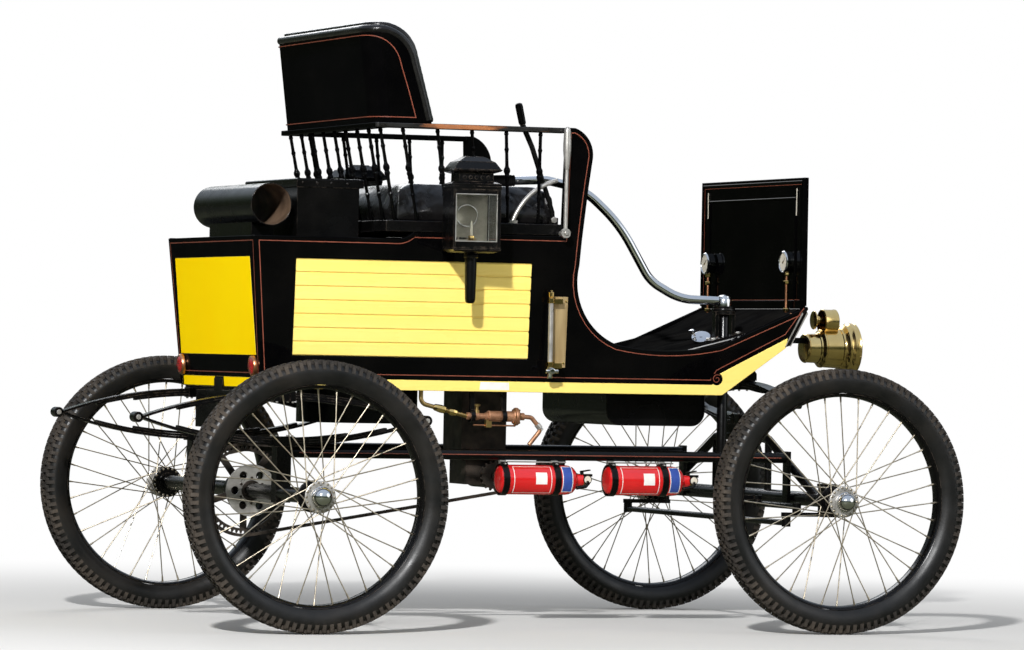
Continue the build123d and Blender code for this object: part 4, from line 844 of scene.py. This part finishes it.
def carriage_lamp(shape, panes, side):
    """One square lamp; its windows face outward and forward."""
    shape.origin = panes.origin = Vector((LAMP_CX, side * LAMP_CY, LAMP_Z))
    out = (0, side, 0)
    started = len(shape.bm.verts), len(panes.bm.verts)
    for wa, wb, low, high in LAMP_TIERS:
        shape.loft([[(sx * w / 2, sy * w / 2, h)
                     for sx, sy in ((-1, -1), (1, -1), (1, 1), (-1, 1))]
                    for w, h in ((wa, low), (wb, high))])

    def bars(*rows, material=SATIN):
        """Boxes from x, y and z to x, y and z; y is measured away from the body."""
        for x0, x1, y0, y1, low, high in rows:
            ys = sorted((side * y0, side * y1))
            shape.box((x0, ys[0], low), (x1, ys[1], high), material)

    bars(*((*corner, 14, 166) for corner in (
        (-64, -58, -64, -58), (-64, -59, 58, 64), (54, 64, 54, 64), (58, 64, -64, -59),
        (-64, -62, -59, 59), (-59, 59, -64, -62))))
    for low, high in ((14, 29), (156, 166)):
        bars((-59, 55, 59.5, 64, low, high), (59.5, 64, -59, 55, low, high))
    for x0, x1 in ((-59, -56.5), (52.5, 55)):
        bars((x0, x1, 60.5, 64.6, 29, 156), (60.5, 64.6, x0, x1, 29, 156), material="steel")
    for low, high in ((29, 31.5), (153.5, 156)):
        bars((-59, 55, 60.5, 64.6, low, high), (60.5, 64.6, -59, 55, low, high), material="steel")
    bars((-62, -60.6, -60, 60, 18, 162), (-60, 60, -62, -60.6, 18, 162),
         (-60, 60, -60, 60, 16, 20), (-60, 60, -60, 60, 158, 162), material="liner")
    pane(panes, (-2, side * 61, 0), 114, 29, 156, out)
    pane(panes, (61, -side * 2, 0), 114, 29, 156, ALONG)
    wall = (0, -side * 61, 100.5)
    shape.lathe([(0, 10), (0.5, 22), (1, 26), (3, 28.5), (7, 29.5), (8.5, 28.5), (8, 26), (4, 20),
                 (2.2, 10), (2, 3)], wall, out, 40, "liner")
    shape.ring([(6.5, 27.5), (6.5, 29.8), (9, 29.8), (9, 27.5)], wall, out, 40, "chrome")
    shape.lathe([(0, 17), (2, 19), (15, 19), (18, 15), (21, 9), (27, 8), (28, 3)], (0, 0, 19),
                UP, 28, "brass")
    shape.lathe([(0, 3.4), (30, 3.4), (34, 2.4), (40, 1)], (0, 0, 46), UP, 12, "cream")
    for ux, uy in ((1, 0), (-1, 0), (0, 1), (0, -1)):
        for t in range(-32, 33, 16):
            shape.lathe([(0, 4.5), (1.2, 4.5), (2, 3)],
                        (ux * 46.2 + uy * t, uy * 46.2 + ux * t, 200), (ux, uy, 0), 12)
    there = Matrix.Translation(shape.origin)
    turn = there @ Matrix.Rotation(radians(side * LAMP_TURN), 4, "Z") @ there.inverted()
    for part, start in zip((shape, panes), started):
        part.bm.verts.ensure_lookup_table()
        bmesh.ops.transform(part.bm, matrix=turn, verts=part.bm.verts[start:])
    shape.lathe([(0, 6), (1.5, 9.5), (5, 12.5), (10, 13.8), (14, 14), (60, 15.3), (121, 16.6),
                 (122, 19), (128, 19.5), (130, 18), (134.5, 17)], (0, 0, -134), UP, 36)
    wall = half_width(LAMP_Z + 50) + 0.3 - LAMP_CY
    bars((-12, 12, wall + 4, -60, 16, 42), (-24, 24, wall, wall + 5, 8, 50))
    for x in (-17, 17):
        for z in (15, 43):
            shape.lathe([(0, 4), (3, 4), (4, 3)], (x, side * (wall + 5), z), out, 6, "steel")


def pane(shape, middle, width, z0, z1, normal):
    """A bevelled glass pane."""
    n, c = Vector(normal), Vector(middle)
    along = Vector((-n.y, n.x, 0))
    shape.loft([[c + along * u * (width / 2 - inset) + n * out + Vector((0, 0, z))
                 for u, z in ((-1, z0 + inset), (1, z0 + inset), (1, z1 - inset),
                              (-1, z1 - inset))]
                for inset, out in ((0, -1), (0, 0.5), (6, 2))], "glass")


def carriage_lamps():
    shape, panes = Shape(), Shape()
    for side in SIDES:
        carriage_lamp(shape, panes, side)
    shape.done("carriage_lamps", ["side_lamps"], "black_metal", 0.0008)
    panes.done("carriage_lamp_panes", ["lamp_glass"], "glass", angle=10)


def front_lamp():
    shape, lens = Shape(origin=(914, 0, 765)), Shape(origin=(914, 0, 765))
    shape.lathe([(0, 6), (0.5, 30), (2, 38), (5, 40.5), (8, 41.5), (10, 40), (40, 41), (42, 43.5),
                 (46, 44), (48, 46), (50, 51), (52, 53.5), (56, 54), (58, 52.5), (104, 55),
                 (106, 57), (110, 57), (112, 58), (117, 63), (120, 66.5), (124, 67.5), (127, 67),
                 (130, 69), (134, 72.5), (138, 73), (141, 71.5), (147, 71.5), (150, 73),
                 (152, 72), (152, 68), (148, 66), (140, 54), (128, 34), (118, 10)],
                ORIGIN, ALONG, 72, "brass")
    shape.lathe([(0, 3), (0.5, 12), (20, 12), (22, 8), (23, 3)], (122, 0, 0), ALONG,
                20, "old_brass")
    shape.ring([(56, 32), (56, 34), (57.5, 35.5), (60, 35), (66, 34.4), (88, 34.4), (92, 35.4),
                (96, 35.4), (98, 33), (98, 1), (93, 1), (92, 31), (88, 32)],
               (0, 0, 75), ALONG, 56, "brass")
    shape.lathe([(0, 9), (0.6, 23), (1.5, 25.5), (3, 26), (4.8, 25.4), (6, 22), (8, 14), (12, 12),
                 (60, 12)], (30, 0, 79), ALONG, 40, "brass")
    low, high = 13, 29
    nose = [59 * (h + 1) / 99 - 206.7 for h in (low, high)]
    shape.prism([(nose[0], -12, low), (8, -12, low), (8, -12, high), (nose[1], -12, high)],
                (0, 24, 0))
    lens.lathe([(0, 60), (2, 65), (4, 62), (7, 42), (9.5, 20), (10, 4)], (141, 0, 0), ALONG,
               64, "glass")
    shape.done("front_lamp", ["headlamp"], "brass", angle=25)
    lens.done("front_lamp_lens", angle=40)


# Bottles under the right reach tube

def extinguisher_bottles():
    shape, straps = Shape(), Shape()
    r = 40
    for start, body in ((-127, 226), (183, 224)):
        shape.origin = straps.origin = Vector((start, -380, 398))
        shape.lathe([(0, 24), (1, 30), (3, 34), (6, 36), (10, 38.5), (16, r), (body - 34, r),
                     (body - 24, 38.5), (body - 14, 34.5), (body - 7, 27), (body - 3, 19),
                     (body, 15)], ORIGIN, ALONG, 56, "red")
        shape.lathe([(0, 15), (3, 16), (17, 16), (18, 14)], (body - 1, 0, 0), ALONG, 28, "red")
        shape.lathe([(0, 12), (5, 13), (12, 13), (14, 10), (20, 10), (22, 6)], (body + 16, 0, 0),
                    ALONG, 24, "old_brass")
        head = body + 14
        shape.box((head - 4, -7, 10), (head + 29.5, 7, 17))
        shape.prism([(head - 2, -7, 21), (head + 24, -7, 26), (head + 24, -7, 29),
                     (head - 2, -7, 25)], (0, 14, 0))
        shape.box((head - 2, -5, 15), (head + 5, 5, 24))
        shape.tube([(head + 12, -12, -2), (head + 12, -22, -8), (head + 2, -30, -16),
                    (head - 26, -34, -20)], 5, 12)
        shape.lathe([(0, 10), (6, 12), (9, 12.5), (11, 11.5), (10, 10)], (head + 12, -8, 2),
                    RIGHT, 28)
        shape.lathe([(0, 9.6), (0.8, 9.6)], (head + 12, -18, 2), RIGHT, 28, "cream")
        for x0, x1, a0, a1, out, material in (
                (34, 142, 118, 240, 0.3, "label"), (36, 140, 121, 237, 0.5, "red"),
                (96, 128, 150, 196, 0.7, "label"), (173, 202, 116, 232, 0.3, "label"),
                (175, 200, 120, 228, 0.5, "label_blue")):
            curved_label(shape, x0, x1, r + out, a0, a1, material)
        for x in (13, 160):
            straps.ring([(-9, r + 0.6), (-9, r + 2.8), (9, r + 2.8), (9, r + 0.6)], (x, 0, 0),
                        ALONG, 56)
            straps.box((x - 9, -7, 42), (x + 9, 7, 51.7), "steel")
            straps.box((x - 9, -18, 38.5), (x + 9, -8, 48))
            straps.tube([(x, -30, 43), (x, 4, 43)], 2.4, 8, "steel")
        straps.box((20, -16, 46), (190, 16, 49.5), "steel")
    shape.done("extinguisher_bottles", ["extinguishers"], "red", angle=35)
    straps.done("extinguisher_straps", ["extinguisher_brackets"], "black_metal", 0.0005)


def curved_label(shape, x0, x1, r, a0, a1, material, n=14):
    """A plain field on a bottle between two angles in degrees, with no words."""
    ways = [radians(a0) + radians(a1 - a0) * k / n for k in range(n + 1)]
    shape.loft([[(x, out * cos(a), out * sin(a))
                 for x, out in ((x0, r - 0.5), (x0, r), (x1, r), (x1, r - 0.5))] for a in ways],
               material)


# Steering and controls

def smooth_route(points, radii, steps=8):
    """Points along straight runs joined by arcs."""
    points = [Vector(p) for p in points]
    out = [points[0]]
    for i in range(1, len(points) - 1):
        a, p, b = points[i - 1], points[i], points[i + 1]
        u, v = (a - p).normalized(), (b - p).normalized()
        half = u.angle(v) / 2
        cut = radii[i - 1] / tan(half)
        start, end = p + u * cut, p + v * cut
        centre = p + (u + v).normalized() * (radii[i - 1] / sin(half))
        s, e = start - centre, end - centre
        for k in range(steps + 1):
            out.append(centre + turned_vector(s, e, k / steps))
    out.append(points[-1])
    return out


def turned_vector(s, e, t):
    angle = s.angle(e)
    if angle < 1e-6:
        return s.lerp(e, t)
    return (s * sin((1 - t) * angle) + e * sin(t * angle)) / sin(angle)


COLUMN = (548, -308)


def tiller():
    shape = Shape(origin=(*COLUMN, 348.5))
    shape.lathe([(0, 13), (1, 14), (550, 14), (551.5, 13)], ORIGIN, UP, 24)
    shape.prism([(0, -9, 0), (108, -7, 0), (108, 7, 0), (0, 9, 0)], (0, 0, 12))
    shape.lathe([(0, 13), (1, 14), (11, 14), (12, 13)], (108, 0, 0), UP, 24)
    shape.lathe([(0, 15), (2, 20), (26, 21), (30, 19), (36, 17), (40, 8)], (0, 0, 517.5),
                UP, 32, "chrome")
    shape.origin = Vector(ORIGIN)
    shape.tube(smooth_route([(*COLUMN, 889), (425, -288, 892), (345, -268, 940), (262, -246, 1092),
                             (165, -220, 1186), (60, -196, 1209), (-20, -178, 1205)],
                            [150, 110, 400, 180, 120]), 12, 20, "chrome")
    a, b = Vector((-19, -178.2, 1205)), Vector((-105, -160, 1202))
    ribs = [(10 + k * 5 + d, r) for k in range(13)
            for d, r in ((0, 15.8), (3.4, 15.8), (4.0, 14.6), (4.6, 14.6))]
    shape.lathe([(0, 12.5), (2, 15), (5, 15.5), (8, 14)] + ribs +
                [(78, 15.8), (84, 15.5), (87, 12), (88, 6)], a, b - a, 28, "mat")
    shape.skin("tiller", "chrome", angle=35)


def tiller_column():
    shape = Shape()
    shape.cad("tiller_column")
    shape.origin = Vector((*COLUMN, toe_z(COLUMN[0])))
    for x in (-36, 36):
        for y in (-18, 18):
            shape.lathe([(0, 7), (5, 7), (6, 5)], (x, y, x * 0.25 + 8.5), (-0.24, 0, 0.97),
                        6, "steel")
    shape.ring([(0, 30.2), (0, 32), (4, 33), (8, 32), (8, 30.2)], (0, 0, 77), UP, 40)
    shape.skin("tiller_column", "black_metal", 0.0008)


def gauges():
    shape = Shape()
    back = (-1, 0, 0)
    for side in SIDES:
        shape.origin = Vector((755, side * 286, 1000))
        shape.lathe([(0, 22), (2, 27), (5, 29), (18, 29.5), (20, 31), (24, 31), (26.5, 29),
                     (27.5, 27), (26.8, 26), (24.5, 25), (24.4, 5)], ORIGIN, back, 48, "chrome")
        shape.lathe([(0, 24.6), (0.5, 24.6)], (-24.5, 0, 0), back, 40, "cream")
        for k in range(11):
            way = pointing(-50 + 28 * k)
            p = Vector((-25.1, 0, 0)) + way * 20
            shape.tube([p, p + way * 3.6], 0.5, 5)
        hand, middle = pointing(140), Vector((-25.6, 0, 0))
        shape.tube([middle - hand * 5, middle + hand * 17], [1.3, 0.4], 6)
        shape.lathe([(0, 2.6), (1.5, 2.2)], (-25.2, 0, 0), back, 12, "brass")
        foot = toe_z(741) - 999.6
        shape.tube([(-14, 0, -26), (-14, 0, foot)], 4.2, 14, "copper")
        for h in (-38, -60, foot + 2):
            shape.lathe([(0, 7), (1.5, 8), (8, 8), (9.5, 7)], (-14, 0, h), UP, 6, "brass")
    shape.skin("dash_gauges", "chrome", angle=30)


def pointing(degrees):
    """The direction at an angle in the plane that faces along the car."""
    a = radians(degrees)
    return Vector((0, cos(a), sin(a)))


def levers():
    shape = Shape()
    y, top = -362, 1084.1
    handle = [(24, y, top + 4), (22, y, 1117), (4, y, 1170), (-8, y, 1202), (-39, y, 1290),
              (-67, y, 1349), (-79, y, 1401)]
    shape.tube(handle, [6.5, 6.5, 6.5, 6.5, 7, 7.5, 7], 16)
    a, b = Vector(handle[-2]), Vector(handle[-1])
    shape.lathe([(0, 7), (2, 9.5), (6, 10), (50, 10.5), (56, 9.5), (59, 5)],
                a + (b - a) * 0.02, b - a, 20, "black_paint")
    shape.box((12, y - 10, top + 0.2), (36, y + 10, top + 18))
    shape.lathe([(0, 9), (4, 9), (5, 7)], (24, y - 10, top + 12), RIGHT, 6, "steel")
    quadrant = arc3((-96, 1088), (-52, 1157), (30, 1202), 16)
    shape.tube([(x, y - 14, z) for x, z in quadrant], 6, 14, "steel")
    shape.box((-112, y - 20, top + 0.2), (-84, y - 8, top + 8), "steel")
    shape.box((2, y - 15, 1188), (14, y + 5, 1198))
    outside = -(half_width(1343) + 12)
    shape.tube([(36, outside, 1060), (37, outside, 1345)], [6, 4.5], 14, "steel")
    shape.lathe([(0, 3), (1.5, 6), (6, 8.4), (16, 9.6), (45, 11), (62, 11), (80, 9.6), (100, 7.6),
                 (112, 6.4), (115, 5)], (37, outside, 1345), (0, 0, -1), 24, "steel")
    shape.ring([(-7, 7), (-7, 13), (7, 13), (7, 7)], (36, outside, 1060), ACROSS, 28, "steel")
    wall = -(half_width(1060) + 0.3)
    shape.lathe([(0, 7), (abs(wall - outside) + 9, 7), (abs(wall - outside) + 12, 5)],
                (36, wall, 1060), RIGHT, 16, "steel")
    foot = Vector((508, -245, toe_z(508) + 2.2))
    crown, up = foot + Vector((0, 0, 14)), Vector((-0.3, -0.5, 0.81)).normalized()
    shape.lathe([(0, 24), (1, 26), (3, 26), (4, 24), (4.4, 8)], crown, up, 40, "chrome")
    shape.tube([foot, foot + Vector((0, 0, 16))], 7, 16)
    knob = crown + up * 4 + Vector((-16, 4, 0))
    shape.tube([knob, knob + Vector((-9, 0, 14))], 2.6, 12, "steel")
    shape.lathe([(0, 4), (1, 8), (3, 9.5), (5, 9), (7, 3)], knob + Vector((-9, 0, 12)),
                (-0.2, 0, 1), 24, "chrome")
    shape.skin("controls", "black_metal", 0.0004, angle=35)


# Springs, chain and the rest of the running gear

def leaves(shape, half_span, rise, width, centre, along, steps=24):
    """A full elliptic spring with separate leaves, clips and eyes."""
    along, centre = Vector(along), Vector(centre)
    across = Vector((-along.y, along.x, 0))

    def put(u, v, h):
        return centre + along * u + across * v + Vector((0, 0, h))

    def block(u, v, h):
        """A box reaching u, v and h to both sides of a leaf pack's middle."""
        corners = [put(middle - u, -v, level - h), put(middle + u, v, level + h)]
        shape.box([min(c) for c in zip(*corners)], [max(c) for c in zip(*corners)])

    half, edge = width / 2, steps // 2 - 2
    radius = (half_span ** 2 + rise ** 2) / (2 * rise)
    for way in (1, -1):
        for n in range(3):
            r = radius - (2 - n) * 7
            end = asin(half_span * (1 - 0.27 * (2 - n)) / radius)
            rings = []
            for k in range(steps + 1):
                a = -end + 2 * end * k / steps
                v = half * (1 - 0.45 * max(0, abs(k - steps // 2) - edge) / 2 if n < 2 else 1)
                rings.append([put(rr * sin(a), vv, way * (rise - radius + rr * cos(a)))
                              for vv, rr in ((-v, r - 6.7), (-v, r), (v, r), (v, r - 6.7))])
            shape.loft(rings)
        level = way * (rise - 10.5)
        for middle in (-22, 22):
            block(8, half + 4, 13.4)
            for v in (-half - 1, half + 1):
                shape.lathe([(0, 3.6), (4, 3.6)], put(middle, v, level - way * 13),
                            (0, 0, -way), 6, "steel")
        middle = 0
        block(13, half + 3, 13)
    for end in (-1, 1):
        shape.lathe([(0, 12.5), (1, 14), (width - 1, 14), (width, 12.5)],
                    put(end * half_span, -width / 2, 0), across, 28)
        shape.lathe([(-3, 5), (-2.5, 7), (0, 7), (width, 7), (width + 2.5, 7), (width + 3, 5)],
                    put(end * half_span, -width / 2, 0), across, 8, "steel")


def springs():
    shape = Shape()
    for side in SIDES:
        leaves(shape, 400, 70, 40, (-736.5, side * 385, 552), ALONG)
    shape.box((-764.5, -407, 624), (-708.5, 407, 632))
    shape.skin("rear_springs", "black_metal", 0.0008)
    shape = Shape()
    leaves(shape, 365, 58, 40, (736.5, 0, 612), ACROSS)
    slope = 132 / 182
    x0, x1, top, base = 595, 752.5, 673, 631.7
    shape.prism([(x0, -60, top - 1), (x1, -60, top - 1), (x1, -60, top + 18),
                 (701, -60, base + 176 * slope), (x0 + 8, -60, base + (x0 - 517) * slope)],
                (0, 120, 0))
    shape.skin("front_spring", "black_metal", 0.0008)


AXLE = (-736.5, 355.5)  # rear axle in X and Z


def chain_path(step=12.7):
    """Centre line of the chain round both sprockets in X and Z, cut into links."""
    (bx, bz, br), (sx, sz, sr) = (*AXLE, 122.8), (-20, 400, 46.8)
    d = hypot(sx - bx, sz - bz)
    base = atan2(sz - bz, sx - bx)
    lean = acos((br - sr) / d)
    points = []
    for x, z, r, start, turn in ((bx, bz, br, base + lean, tau - 2 * lean),
                                 (sx, sz, sr, base - lean, 2 * lean)):
        for a in (start + turn * k / 40 for k in range(41)):
            points.append(Vector((x + r * cos(a), z + r * sin(a))))
    points.append(points[0])
    total = sum((b - a).length for a, b in zip(points, points[1:]))
    count = 2 * round(total / step / 2)
    out, travelled, target = [], 0, 0
    for a, b in zip(points, points[1:]):
        span = (b - a).length
        while target <= travelled + span and len(out) < count:
            out.append(a + (b - a) * ((target - travelled) / max(span, 1e-9)))
            target += total / count
        travelled += span
    return out


def chain():
    shape = Shape()
    points = chain_path()
    for n, p in enumerate(points):
        q = points[(n + 1) % len(points)]
        way = (q - p).normalized()
        side = Vector((-way.y, way.x))
        half = 6.0 if n % 2 else 4.4
        for y in (half - 0.7, -half - 0.7):
            outline = []
            for end, sign in ((p, -1), (q, 1)):
                for k in range(5):
                    a = pi / 2 - pi * k / 4
                    outline.append(end + (way * sign * cos(a) + side * sin(a) * sign) * 4.1)
            shape.prism([(o.x, -60 + y, o.y) for o in outline], (0, 1.4, 0), "iron")
        shape.lathe([(0, 3.2), (8, 3.2)], (p.x, -64, p.y), ACROSS, 8, "steel")
    shape.done("drive_chain_links", ["drive_chain"], "iron", angle=35)


def pump():
    shape = Shape(origin=(0, -328, 566))
    roof = 65.8
    shape.lathe([(0, 7), (1, 9.5), (10, 9.5), (11, 7.5), (22, 7.5), (24, 11), (34, 11), (36, 8),
                 (52, 8), (54, 10.5), (60, 10.5), (61, 15), (64, 15.5), (66, 14.5), (130, 14.5),
                 (132, 17), (136, 18), (137, 23), (139, 24), (145, 24), (147, 22), (149, 13),
                 (152, 10), (164, 10), (165, 8)], (-200, 0, 0), ALONG, 32, "bronze")
    for k in range(6):
        shape.lathe([(-3, 3), (13, 3)], pointing(60 * k) * 19 + Vector((-63, 0, 0)), ALONG,
                    6, "old_brass")
    for x in (-185, -95):
        shape.box((x - 6, -6, 8), (x + 6, 6, roof))
        shape.ring([(-6, 15.5), (-6, 18), (6, 18), (6, 15.5)], (x, 0, 0), ALONG, 32)
    shape.tube(smooth_route([(-200, 0, 0), (-330, 0, 32), (-330, 0, roof)], [20]), 6,
               14, "old_brass")
    way = Vector((-130, 0, 32)).normalized()
    for start, profile in ((30, [(0, 8), (10, 9.5), (14, 9.5), (22, 7)]),
                           (62, [(0, 7), (2, 10), (14, 11), (30, 9), (34, 7)])):
        shape.lathe(profile, Vector((-200, 0, 0)) + way * start, way, 8, "brass")
    shape.tube(smooth_route([(-36, 0, 0), (-14, 0, -2), (14, 0, -34), (-20, 0, -76)], [12, 12]),
               6, 14, "bronze")
    shape.lathe([(0, 8), (14, 8), (16, 6), (22, 6)], (2, 0, -20), (0.66, 0, -0.75), 8, "steel")
    shape.lathe([(0, 8), (8, 8), (9, 5), (18, 5), (19, 10), (23, 10.5), (25, 8)], (-171, 0, 8),
                UP, 20, "old_brass")
    shape.tube([(-180, 0, -24), (-60, 0, -25)], 2.4, 10, "copper")
    shape.box((-146, -7, -30), (-130, 7, -9), "old_brass")
    shape.tube([(-60, 0, -25), (-60, 0, -14)], 2.4, 10, "copper")
    shape.skin("feed_pump", "brass", angle=30)


def reflectors():
    shape = Shape()
    k = hypot(1, REAR_LEAN)
    normal = Vector((-1 / k, 0, -REAR_LEAN / k))
    for side in SIDES:
        face = Vector((rear_x(690), side * 326, 690))
        shape.lathe([(0.3, 27), (2, 28), (8, 28), (11, 26.5), (12.5, 24), (12.3, 22.5),
                     (11.5, 22)], face, normal, 40, "copper")
        shape.lathe([(8, 22.3), (12.5, 21.5), (15, 17), (16.6, 10), (17, 3)], face, normal,
                    40, "red_lens")
    shape.skin("reflectors", "red", angle=30)


def sight_gauge():
    """Water gauge: plate, a steel tube for the glass column with end blocks, and the cross cock.
    """
    shape = Shape()
    out = lambda z, d: -(half_width(z) + d)
    y = out(900, 22)
    for x0, x1, z0, z1, a, b in ((18, 62, 700, 890, 0.3, 8), (22, 58, 706, 884, 8, 9.2)):
        shape.prism([(x0, out(z0, a), z0), (x1, out(z0, a), z0), (x1, out(z1, a), z1),
                     (x0, out(z1, a), z1)], (0, -(b - a), 0), "plate")
    shape.tube([(8, y, 700), (8, y, 886)], 7, 20, "steel")
    for z in (700, 872):
        shape.lathe([(0, 9), (1, 11), (14, 11), (15, 9)], (8, y, z), UP, 6, "brass")
        shape.box((4, out(900, 28), z - 2), (40, out(z + 5, 5), z + 12), "brass")
    shape.lathe([(0, 6), (3, 8), (14, 8), (18, 4), (20, 4)], (8, y, 887), UP, 16, "brass")
    shape.lathe([(0, 6), (4, 7.5), (24, 7.5), (28, 9), (30, 9)], (8, y, 671), UP, 16, "chrome")
    shape.lathe([(0, 6), (14, 6), (16, 8), (21, 8), (22, 5)], (8, y, 690), RIGHT, 16, "chrome")
    shape.lathe([(0, 4), (2, 6), (8, 5), (28, 5), (34, 6), (36, 4)], (-10, out(900, 38), 690),
                ALONG, 16, "chrome")
    for x in (24, 56):
        for z in (712, 878):
            shape.lathe([(0, 3.6), (1.5, 3.2), (2, 1)], (x, out(z, 9.2), z), RIGHT, 12, "brass")
    shape.skin("water_gauge", "brass", 0.0004)


def axle_gear():
    """Brake disc, chain wheel and fittings on the rear axle."""
    shape = Shape()
    shape.cad("rear_axle")
    x, z = AXLE

    def metal(face):
        """Steel stubs and brake disc, iron chain wheel."""
        middle = face.calc_center_median()
        if -64 < middle.y < -56:
            return "iron"
        reach = max(hypot(v.co.x - x, v.co.z - z) for v in face.verts)
        stub = hypot(middle.x - x, middle.z - z) < 40 and abs(middle.y) > 632
        return "steel" if stub or -130 < middle.y < -120 and reach > 25 else None

    shape.paint(metal)
    for a in angles(6, 0.5):
        shape.lathe([(0, 4), (3, 4), (4, 3)], (x + 34 * cos(a), -129, z + 34 * sin(a)),
                    RIGHT, 6, "iron")
    shape.ring([(-133, 20.2), (-133, 26), (-129, 28), (-121, 28), (-117, 26), (-117, 20.2)],
               (x, 0, z), ACROSS, 40, "iron")
    shape.skin("rear_axle", "steel", 0.0006)


def fasteners():
    """Rivets round the smoke box lid."""
    shape = Shape()
    rivets = [(-656, -212 + n * 53, (-1, 0, 0)) for n in range(9)]
    rivets += [(x, side * 230, (0, side, 0)) for side in SIDES for x in (-640, -600, -560, -515)]
    for x, y, way in rivets:
        shape.lathe([(0, 3.6), (1.4, 3.2), (2.4, 1.4)], (x, y, 1182), way, 10)
    shape.done("fasteners")


# Camera, light and floor

def camera():
    yaw, pitch, roll = map(radians, CAMERA_TURN)
    forward = Vector((sin(yaw) * cos(pitch), cos(yaw) * cos(pitch), -sin(pitch)))
    right = Vector((cos(yaw), -sin(yaw), 0))
    up = right.cross(forward)
    right, up = (cos(roll) * right + sin(roll) * up, cos(roll) * up - sin(roll) * right)
    data = bpy.data.cameras.new("camera")
    data.lens, data.sensor_width, data.clip_end = CAMERA_LENS, CAMERA_SENSOR, 200
    cam = placed("camera", data)
    cam.matrix_world = Matrix.Translation(MIDDLE @ Vector(CAMERA_MM)) @ Matrix(
        (right, up, -forward)).transposed().to_4x4()
    SCENE.camera = cam


def area_light(name, place, size, power):
    """A round lamp aimed at the middle of the car."""
    data = bpy.data.lights.new(name, "AREA")
    data.shape, data.size, data.energy = "DISK", size, power
    lamp = placed(name, data)
    lamp.location = place
    way = Vector((0, 0, 0.8)) - lamp.location
    lamp.rotation_euler = way.to_track_quat("-Z", "Y").to_euler()


def backdrop(n):
    """White for the camera, a soft sky for the light, hedge and sky for reflections."""
    rays = n.add("LightPath").outputs
    up = n.add("SeparateXYZ", {0: n.coord["Generated"]}).outputs["Z"]
    hedge = n.ramp(up, (0.0, (0.05, 0.06, 0.035)), (0.10, (0.035, 0.05, 0.025)),
                   (0.20, (0.16, 0.20, 0.16)), (0.30, (0.66, 0.74, 0.84)),
                   (1.0, (0.60, 0.71, 0.90)))
    n.look({"Color": (0.86, 0.90, 0.96), "Strength": 0.26})
    around = n.add("Background", {"Color": hedge, "Strength": 0.9}).outputs[0]
    white = n.add("Background", {"Color": WHITE, "Strength": 1.0}).outputs[0]
    seen = n.calc("MAXIMUM", rays["Is Camera Ray"], rays["Is Transmission Ray"])
    shine = n.either(rays["Is Glossy Ray"], n.shader.outputs[0], around)
    n.put(n.tree.nodes["World Output"], {"Surface": n.either(seen, shine, white)})


def floor_look():
    """Pale floor, dark in reflections, that fades to white away from the car."""
    n = new_look("pale_floor")
    rays = n.add("LightPath").outputs
    pale = n.ramp(n.noise(0.6), (0.3, (0.72, 0.71, 0.69)), (0.7, (0.76, 0.75, 0.73)))
    n.look({"Base Color": n.mix(rays["Is Glossy Ray"], pale, (0.13, 0.14, 0.09)),
            "Roughness": 0.8, "Specular IOR Level": 0.1})
    place = n.add("NewGeometry").outputs["Position"]
    far = n.add("VectorMath", {0: place}, operation="LENGTH").outputs["Value"]
    fade = n.spread(far, 0, 1, 1.3, 4.2, interpolation_type="SMOOTHSTEP")
    seen = n.calc("MULTIPLY", fade, rays["Is Camera Ray"])
    white = n.add("Emission").outputs[0]
    n.put(n.tree.nodes["Material Output"], {"Surface": n.either(seen, n.shader.outputs[0], white)})
    return n.owner


def lights_and_floor():
    for row in (("key", (-5.4, -9.4, 6.2), 0.5, 1750), ("fill", (6.0, -5.0, 3.0), 5.0, 90),
                ("back", (1.0, 6.5, 5.0), 4.0, 160)):
        area_light(*row)
    world = bpy.data.worlds.new("studio")
    SCENE.world = world
    backdrop(Nodes(world, "Background"))
    mesh = bpy.data.meshes.new("studio_floor")
    mesh.from_pydata([(-60, -60, 0), (60, -60, 0), (60, 60, 0), (-60, 60, 0)], [], [(0, 1, 2, 3)])
    mesh.materials.append(floor_look())
    placed("studio_floor", mesh)
    SCENE.view_settings.view_transform = "Standard"


DRESSED = (  # node, material, record slot, bevel, and what chooses other materials
    ("side_panels", "black_paint", "black_body", 0.002),
    ("rear_panel", "black_paint", "black_body", 0.0015),
    ("rear_deck", "black_paint", "black_body", 0.001),
    # The sill boards take the paler yellow copy, painted sunlight.
    ("sill_boards", "yellow_side", "yellow_paint", 0.0015, sill_paint),
    ("body_floor", "board", "board", 0.001),
    ("toe_board", "mat", "board", 0.001),
    ("dash", "black_paint", "black_body", 0.0015),
    ("seat_box", SATIN, "board", 0.002),
    ("seat_back", "black_paint", "black_body", 0.003),
    ("smoke_box", SATIN, "black_metal", 0.002),
    ("flue", SATIN, "black_metal", 0.0008, flue_paint),
    ("engine", "iron", "iron", 0.002),
    ("boiler", SATIN, "iron", 0.0),
    ("under_tank", SATIN, "black_metal", 0.002),
    ("number_plate", SATIN, "black_metal", 0.0008),
    *((node, SATIN, "black_metal", 0.001) for node in (
        "front_axle", "knuckle_right", "knuckle_left", "tie_rod", "drag_link", "reach_frame")),
    # The insets take the paler yellow copy, painted sunlight, and the rear inset takes the
    # stronger copy, painted light.
    ("body_insets", "yellow_side", "yellow_paint", 0.001, inset_paint),
)


camera()
lights_and_floor()
for row in DRESSED:
    dressed(*row)
for make in (wheels, coach_lines, mat, seat_rail, seat_pads, carriage_lamps, front_lamp,
             extinguisher_bottles, tiller, tiller_column, gauges, levers, springs, chain, pump,
             reflectors, sight_gauge, axle_gear, fasteners):
    make()
